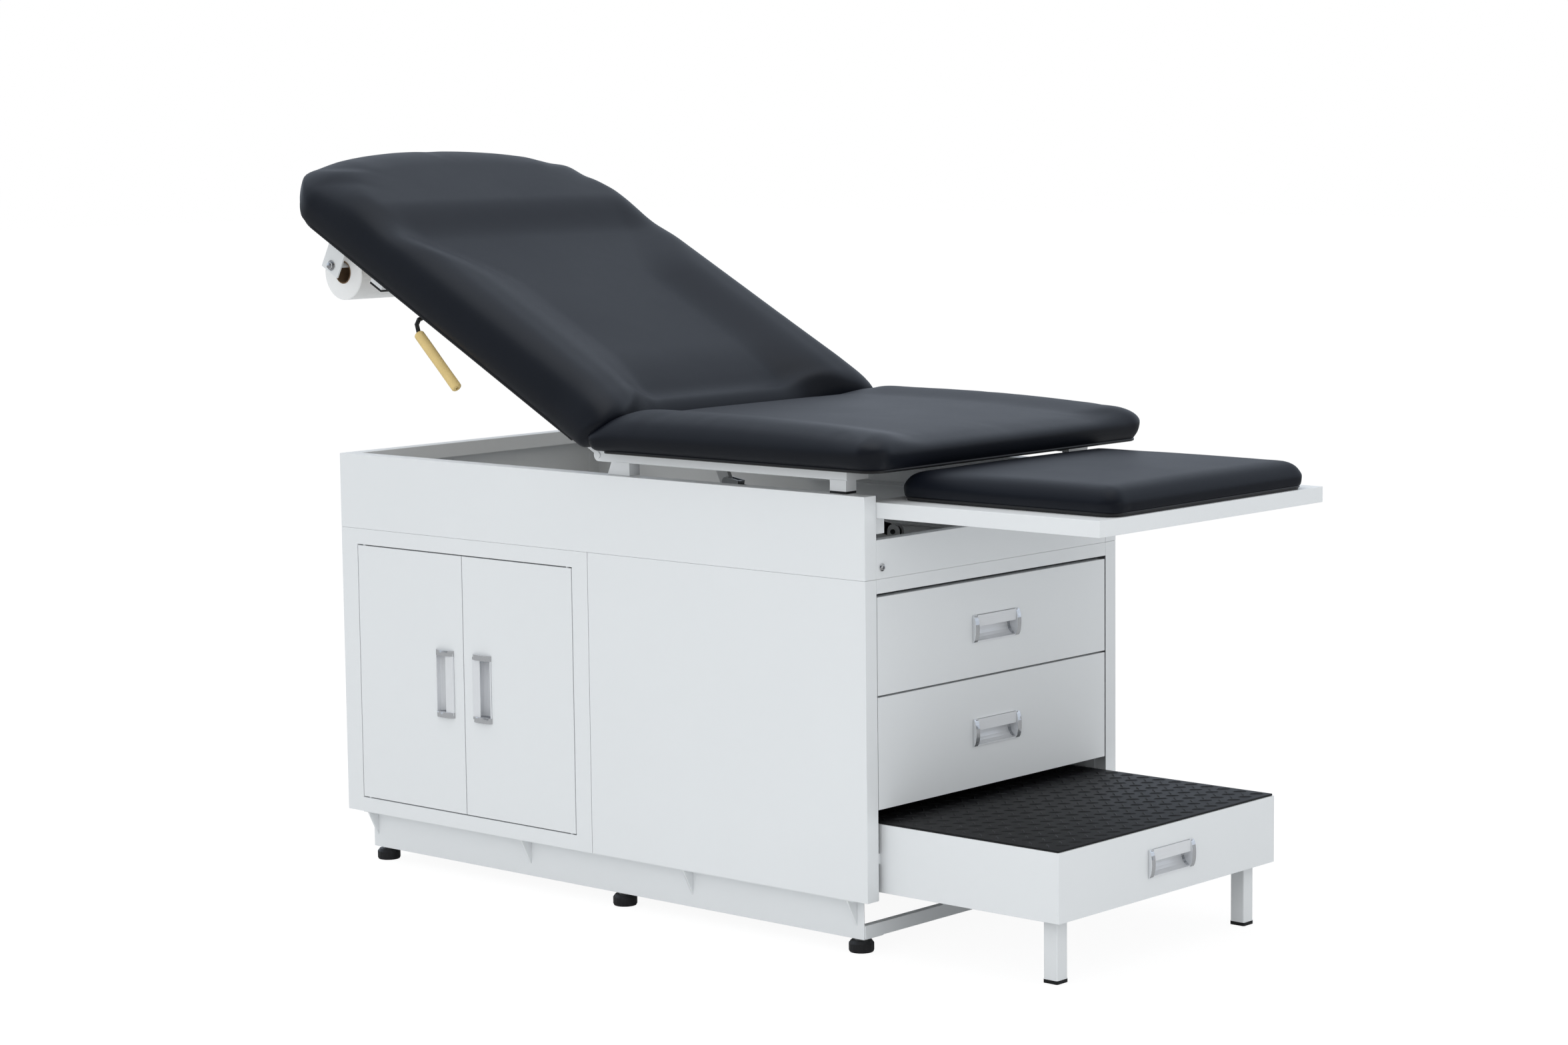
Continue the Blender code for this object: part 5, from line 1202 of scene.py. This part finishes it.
def foam_grip(finish):
    """Foam sleeve with soft ends and the open bore at its free end."""
    low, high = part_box("lever_grip")
    middle = (low.y + high.y) / 2
    start = Vector((low.x + GRIP_END_X, middle, high.z - GRIP_END_Z))
    end = Vector((high.x - GRIP_END_X, middle, low.z + GRIP_END_Z))
    length = (end - start).length
    radius = (high.y - low.y) / 2
    soft = GRIP_SOFT
    turns = np.linspace(0.0, math.pi / 2, 6)
    near = [(radius - soft + soft * math.sin(a), soft - soft * math.cos(a)) for a in turns]
    body = []
    for share in np.linspace(0.1, 0.9, 9):
        wavy = radius * (1.0 + GRIP_WAVE * math.sin(GRIP_WAVES * share))
        body.append((wavy, soft + (length - 2 * soft) * share))
    far = [(r, length - z) for r, z in reversed(near)]
    hole = [(GRIP_HOLE, GRIP_HOLE_DEPTH), (GRIP_HOLE, 0.0)]
    floor = length - GRIP_BORE_DEPTH
    bore = [(GRIP_BORE, length), (GRIP_BORE, floor), (ON_AXIS, floor), (ON_AXIS, GRIP_HOLE_DEPTH)]
    mesh = turned("foam_grip", hole + near + body + far + bore + hole[:1], 28)
    stand(mesh, start, end - start)
    grip = new_piece("foam_grip", mesh, finish)
    crisp(grip, 55.0)
    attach(grip, "release_lever")
    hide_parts("lever_grip")


def wound_roll(finish):
    """Paper roll with its core standing a little proud and a loose outer edge."""
    low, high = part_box("paper_roll")
    half = (high.y - low.y) / 2
    radius = (high.z - low.z) / 2
    card = PAPER_CORE + PAPER_CARD
    face = half - PAPER_CORE_PROUD
    shape = bmesh.new()
    rows = []
    for i in range(PAPER_STEPS):
        turn = math.tau * i / PAPER_STEPS
        outer = radius - PAPER_SLACK + PAPER_LOOSE * (i / PAPER_STEPS)
        section = [(PAPER_CORE, half), (card, half), (card + PAPER_CARD_STEP, face)]
        section += [(outer - PAPER_EDGE, face), (outer, face - PAPER_EDGE)]
        section += [(r, -y) for r, y in reversed(section)]
        rows.append([shape.verts.new((r * math.cos(turn), y, r * math.sin(turn))) for r, y in section])
    skin(shape, rows, True, True)
    mesh = shape_mesh("wound_roll", shape)
    mesh.transform(Matrix.Translation(PAPER_AXIS))
    roll = new_piece("wound_roll", mesh, finish)
    crisp(roll, 35.0)
    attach(roll, "paper_roll")
    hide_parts("paper_roll")


def wall_screw(name, place, finish):
    """Low domed screw head with a round socket, standing on the front wall."""
    turns = np.linspace(0.0, 1.15, 7)
    rise = SCREW_DOME * SCREW_RADIUS
    dome = [(SCREW_RADIUS * math.cos(a), SCREW_BRIM + rise * math.sin(a)) for a in turns]
    brim, crest = dome[-1]
    floor = crest - SCREW_SOCKET * SCREW_RADIUS
    profile = [(ON_AXIS, 0.0), (SCREW_RADIUS, 0.0)] + dome
    profile += [(brim * 0.95, crest), (brim * 0.9, floor), (ON_AXIS, floor)]
    mesh = turned(name, profile, 24)
    stand(mesh, place, (1.0, 0.0, 0.0))
    made = new_piece(name, mesh, finish)
    crisp(made, 35.0)
    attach(made, "case")


def rod_nut(finish):
    """Hexagon nut on a round washer, at the near end of the paper roll's rod."""
    shape = bmesh.new()
    bmesh.ops.create_cone(
        shape, cap_ends=True, segments=6, radius1=NUT_RADIUS, radius2=NUT_RADIUS, depth=NUT_HEIGHT,
        matrix=Matrix.Translation((0.0, 0.0, NUT_HEIGHT / 2 + WASHER_SEAT)),
    )
    bmesh.ops.bevel(shape, geom=shape.edges[:], offset=NUT_EDGE, segments=2, affect="EDGES", profile=0.5)
    bmesh.ops.create_cone(
        shape, cap_ends=True, segments=24, radius1=NUT_RADIUS * 1.45, radius2=NUT_RADIUS * 1.38,
        depth=WASHER_HEIGHT, matrix=Matrix.Translation((0.0, 0.0, WASHER_HEIGHT / 2)),
    )
    mesh = shape_mesh("roll_rod_nut", shape)
    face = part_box("roll_bracket_near")[0].y
    stand(mesh, PAPER_AXIS + Vector((0.0, face - PAPER_AXIS.y, NUT_RISE)), (0.0, -1.0, 0.0))
    made = new_piece("roll_rod_nut", mesh, finish)
    crisp(made, 30.0)
    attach(made, "backrest")


class TABLE_OT_case(bpy.types.Operator):
    """Powder coat on every steel sheet, tube and post."""

    bl_idname = "table.case"
    bl_label = "Steel case and frames"

    def execute(self, context):
        coat = powder_coat()
        for node in WHITE_SHEET:
            dress(node, coat)
        for node in FOLDED:
            soften(node, SHEET_FOLD)
        posts = coat_with_rubber("coat_seat_rail", seat_post_mask)
        stops = coat_with_rubber("coat_backrest_rail", stop_post_mask)
        tips = coat_with_rubber("coat_step_leg", leg_tip_mask)
        for end in ("near", "far"):
            dress("seat_rail_" + end, posts)
            dress("backrest_rail_" + end, stops)
            dress("step_leg_" + end, tips)
        return {"FINISHED"}


class TABLE_OT_pulls(bpy.types.Operator):
    """Satin recessed pulls with bright end caps."""

    bl_idname = "table.pulls"
    bl_label = "Recessed pulls"

    def execute(self, context):
        for node, axis in PULLS:
            low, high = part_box(node)
            index = "XYZ".index(axis)
            middle = (low[index] + high[index]) / 2
            reach = (high[index] - low[index]) / 2 - PULL_CAP
            dress(node, pull_finish(node + "_finish", axis, middle, reach))
            soften(node, PULL_FOLD)
        return {"FINISHED"}


class TABLE_OT_pads(bpy.types.Operator):
    """Seat, backrest and leg pads with their piping and boards."""

    bl_idname = "table.pads"
    bl_label = "Pads"

    def execute(self, context):
        cover = vinyl("vinyl", 0.34)
        black = piping_vinyl()
        seat_cushion(cover, black)
        back_cushion(cover, black)
        # Painted shade: the leg pad gets a copy of the seat's vinyl with less gloss, so that it reads
        # darker, as if soft shade lay on it.
        leg_cushion(vinyl("leg_vinyl", 0.24), black)
        # The seat board is real plywood, darkened as painted shade so that the seat's underside reads as
        # shade.
        dress("seat_board", plywood("plywood", colours().board))
        dress("backrest_board", plywood("pale_plywood", shade(colours().board, 2.8)))
        return {"FINISHED"}


class TABLE_OT_step(bpy.types.Operator):
    """Tread mat of the step, and the screw feet."""

    bl_idname = "table.step"
    bl_label = "Tread mat and feet"

    def execute(self, context):
        tread_mat(rubber("mat_rubber"))
        foot = foot_finish()
        for number in range(1, 7):
            dress(f"foot_{number}", foot)
        return {"FINISHED"}


class TABLE_OT_backrest_gear(bpy.types.Operator):
    """Release lever with its grip, gas spring and paper roll."""

    bl_idname = "table.backrest_gear"
    bl_label = "Lever, gas spring and paper roll"

    def execute(self, context):
        black = black_metal()
        dress("release_lever", black)
        dress("gas_cylinder", black)
        dress("gas_rod", rod_steel())
        foam_grip(foam())
        wound_roll(roll_paper())
        return {"FINISHED"}


class TABLE_OT_hardware(bpy.types.Operator):
    """Screws and the nut that show."""

    bl_idname = "table.hardware"
    bl_label = "Screws and nut"

    def execute(self, context):
        bright = bright_metal()
        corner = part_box("surround_front")[1]
        for side, label in ((-1, "near"), (1, "far")):
            wall_screw(f"wall_screw_{label}", (corner.x, side * (corner.y - SCREW_IN), SCREW_Z), bright)
        rod_nut(bright)
        return {"FINISHED"}


class TABLE_OT_stage(bpy.types.Operator):
    """White floor and background, soft lamps and the camera."""

    bl_idname = "table.stage"
    bl_label = "Stage"

    def execute(self, context):
        settings = context.scene.stage_settings
        stage_world(settings)
        stage_floor()
        for name, place, target, size, in_gloss in LAMPS:
            lamp = stage_lamp(name + "_lamp", place, target, size, getattr(settings, name))
            lamp.visible_glossy = in_gloss
        stage_camera()
        context.scene.view_settings.view_transform = "Standard"
        return {"FINISHED"}


def stage_world(settings):
    """White to the camera, and even light on the table that is a little stronger from the near side. In the
    table's gloss a bright backdrop stands behind it and a dim room before it."""
    world = bpy.data.worlds.new("soft_room")
    bpy.context.scene.world = world
    world.use_nodes = True
    tree = world.node_tree
    tree.nodes.clear()
    room = NodeTree(tree)
    camera = room.node("ShaderNodeLightPath", output="Is Camera Ray")
    gloss = room.node("ShaderNodeLightPath", output="Is Glossy Ray")
    towards = room.node("ShaderNodeTexCoord", output="Generated")
    away = (-math.sin(CAMERA_TURN), math.cos(CAMERA_TURN), BACKDROP_RISE)
    facing = room.vector("DOT_PRODUCT", towards, away, "Value")
    seen = settings.room + facing.ramp(*BACKDROP_SPAN) * (settings.backdrop - settings.room)
    near = room.vector("DOT_PRODUCT", towards, NEAR_GAIN, "Value")
    soft = seen * gloss + settings.even * (1.0 + near) * (1.0 - gloss)
    strength = soft * (1.0 - camera) + camera
    tint = room.mix(camera, room.mix(gloss, EVEN_TINT, GLOSS_TINT), (1.0, 1.0, 1.0))
    glow = room.node("ShaderNodeBackground", None, {"Color": tint, "Strength": strength})
    output = tree.nodes.new("ShaderNodeOutputWorld")
    tree.links.new(glow.socket, output.inputs["Surface"])


def stage_floor():
    """Pale floor that shows white, keeps a light shadow and is dim in the gloss of the table."""
    shape = bmesh.new()
    bmesh.ops.create_grid(shape, x_segments=1, y_segments=1, size=FLOOR_SIZE)
    mesh = shape_mesh("studio_floor", shape, False)
    floor = bpy.data.objects.new("studio_floor", mesh)
    floor.location = (0.0, 0.0, -FLOOR_DROP)
    bpy.context.scene.collection.objects.link(floor)
    finish = Finish("studio_white", Colour=(0.90, 0.90, 0.90), Roughness=0.9)
    camera = finish.node("ShaderNodeLightPath", output="Is Camera Ray")
    gloss = finish.node("ShaderNodeLightPath", output="Is Glossy Ray")
    glow = finish.node("ShaderNodeEmission", None, {"Strength": FLOOR_GLOW})
    dim = finish.node("ShaderNodeEmission", None, {"Strength": FLOOR_DIM})
    lit = Wire(finish, finish.surface.outputs[0])
    bright = finish.node("ShaderNodeMixShader", None, {0: camera * FLOOR_GLOW_SHARE, 1: lit, 2: glow})
    shown = finish.node("ShaderNodeMixShader", None, {0: gloss * FLOOR_DIM_SHARE, 1: bright, 2: dim})
    finish.tree.links.new(shown.socket, finish.tree.nodes["Material Output"].inputs["Surface"])
    mesh.materials.append(finish.material)


def stage_lamp(name, place, target, size, power):
    """A square lamp that points at a target."""
    lamp = bpy.data.lights.new(name, "AREA")
    lamp.size = size
    lamp.energy = power
    item = bpy.data.objects.new(name, lamp)
    item.location = place
    item.rotation_euler = (Vector(target) - Vector(place)).to_track_quat("-Z", "Y").to_euler()
    bpy.context.scene.collection.objects.link(item)
    return item


def stage_camera():
    """Camera at the photograph's place."""
    ahead = Vector((-math.sin(CAMERA_TURN), math.cos(CAMERA_TURN), 0.0))
    forward = ahead * math.cos(CAMERA_DOWN) - Vector((0.0, 0.0, math.sin(CAMERA_DOWN)))
    level = Vector((math.cos(CAMERA_TURN), math.sin(CAMERA_TURN), 0.0))
    above = level.cross(forward)
    right = level * math.cos(CAMERA_ROLL) + above * math.sin(CAMERA_ROLL)
    up = above * math.cos(CAMERA_ROLL) - level * math.sin(CAMERA_ROLL)
    data = bpy.data.cameras.new("photo_camera")
    data.lens = CAMERA_LENS
    data.sensor_width = CAMERA_SENSOR
    camera = bpy.data.objects.new("photo_camera", data)
    turn = Matrix((right, up, -forward)).transposed().to_4x4()
    camera.matrix_world = Matrix.Translation(CAMERA_PLACE) @ turn
    bpy.context.scene.collection.objects.link(camera)
    bpy.context.scene.camera = camera


class TABLE_PT_panel(bpy.types.Panel):
    """Lists the table's pieces."""

    bl_idname = "TABLE_PT_panel"
    bl_label = "Examination table"
    bl_space_type = "VIEW_3D"
    bl_region_type = "UI"
    bl_category = "Table"

    def draw(self, context):
        for operator in OPERATORS:
            self.layout.operator(operator.bl_idname)


GROUPS = (
    ("pad_sizes", PadSizes),
    ("tread_sizes", TreadSizes),
    ("table_colours", TableColours),
    ("stage_settings", StageSettings),
)
OPERATORS = (
    TABLE_OT_stage,
    TABLE_OT_case,
    TABLE_OT_pulls,
    TABLE_OT_pads,
    TABLE_OT_step,
    TABLE_OT_backrest_gear,
    TABLE_OT_hardware,
)


def register():
    for name, group in GROUPS:
        bpy.utils.register_class(group)
        setattr(bpy.types.Scene, name, PointerProperty(type=group))
    for item in OPERATORS + (TABLE_PT_panel,):
        bpy.utils.register_class(item)


def unregister():
    for item in reversed(OPERATORS + (TABLE_PT_panel,)):
        bpy.utils.unregister_class(item)
    for name, group in reversed(GROUPS):
        delattr(bpy.types.Scene, name)
        bpy.utils.unregister_class(group)


def main():
    register()
    bpy.ops.table.stage()
    bpy.ops.table.case()
    bpy.ops.table.pulls()
    bpy.ops.table.pads()
    bpy.ops.table.step()
    bpy.ops.table.backrest_gear()
    bpy.ops.table.hardware()


if __name__ == "__main__":
    main()
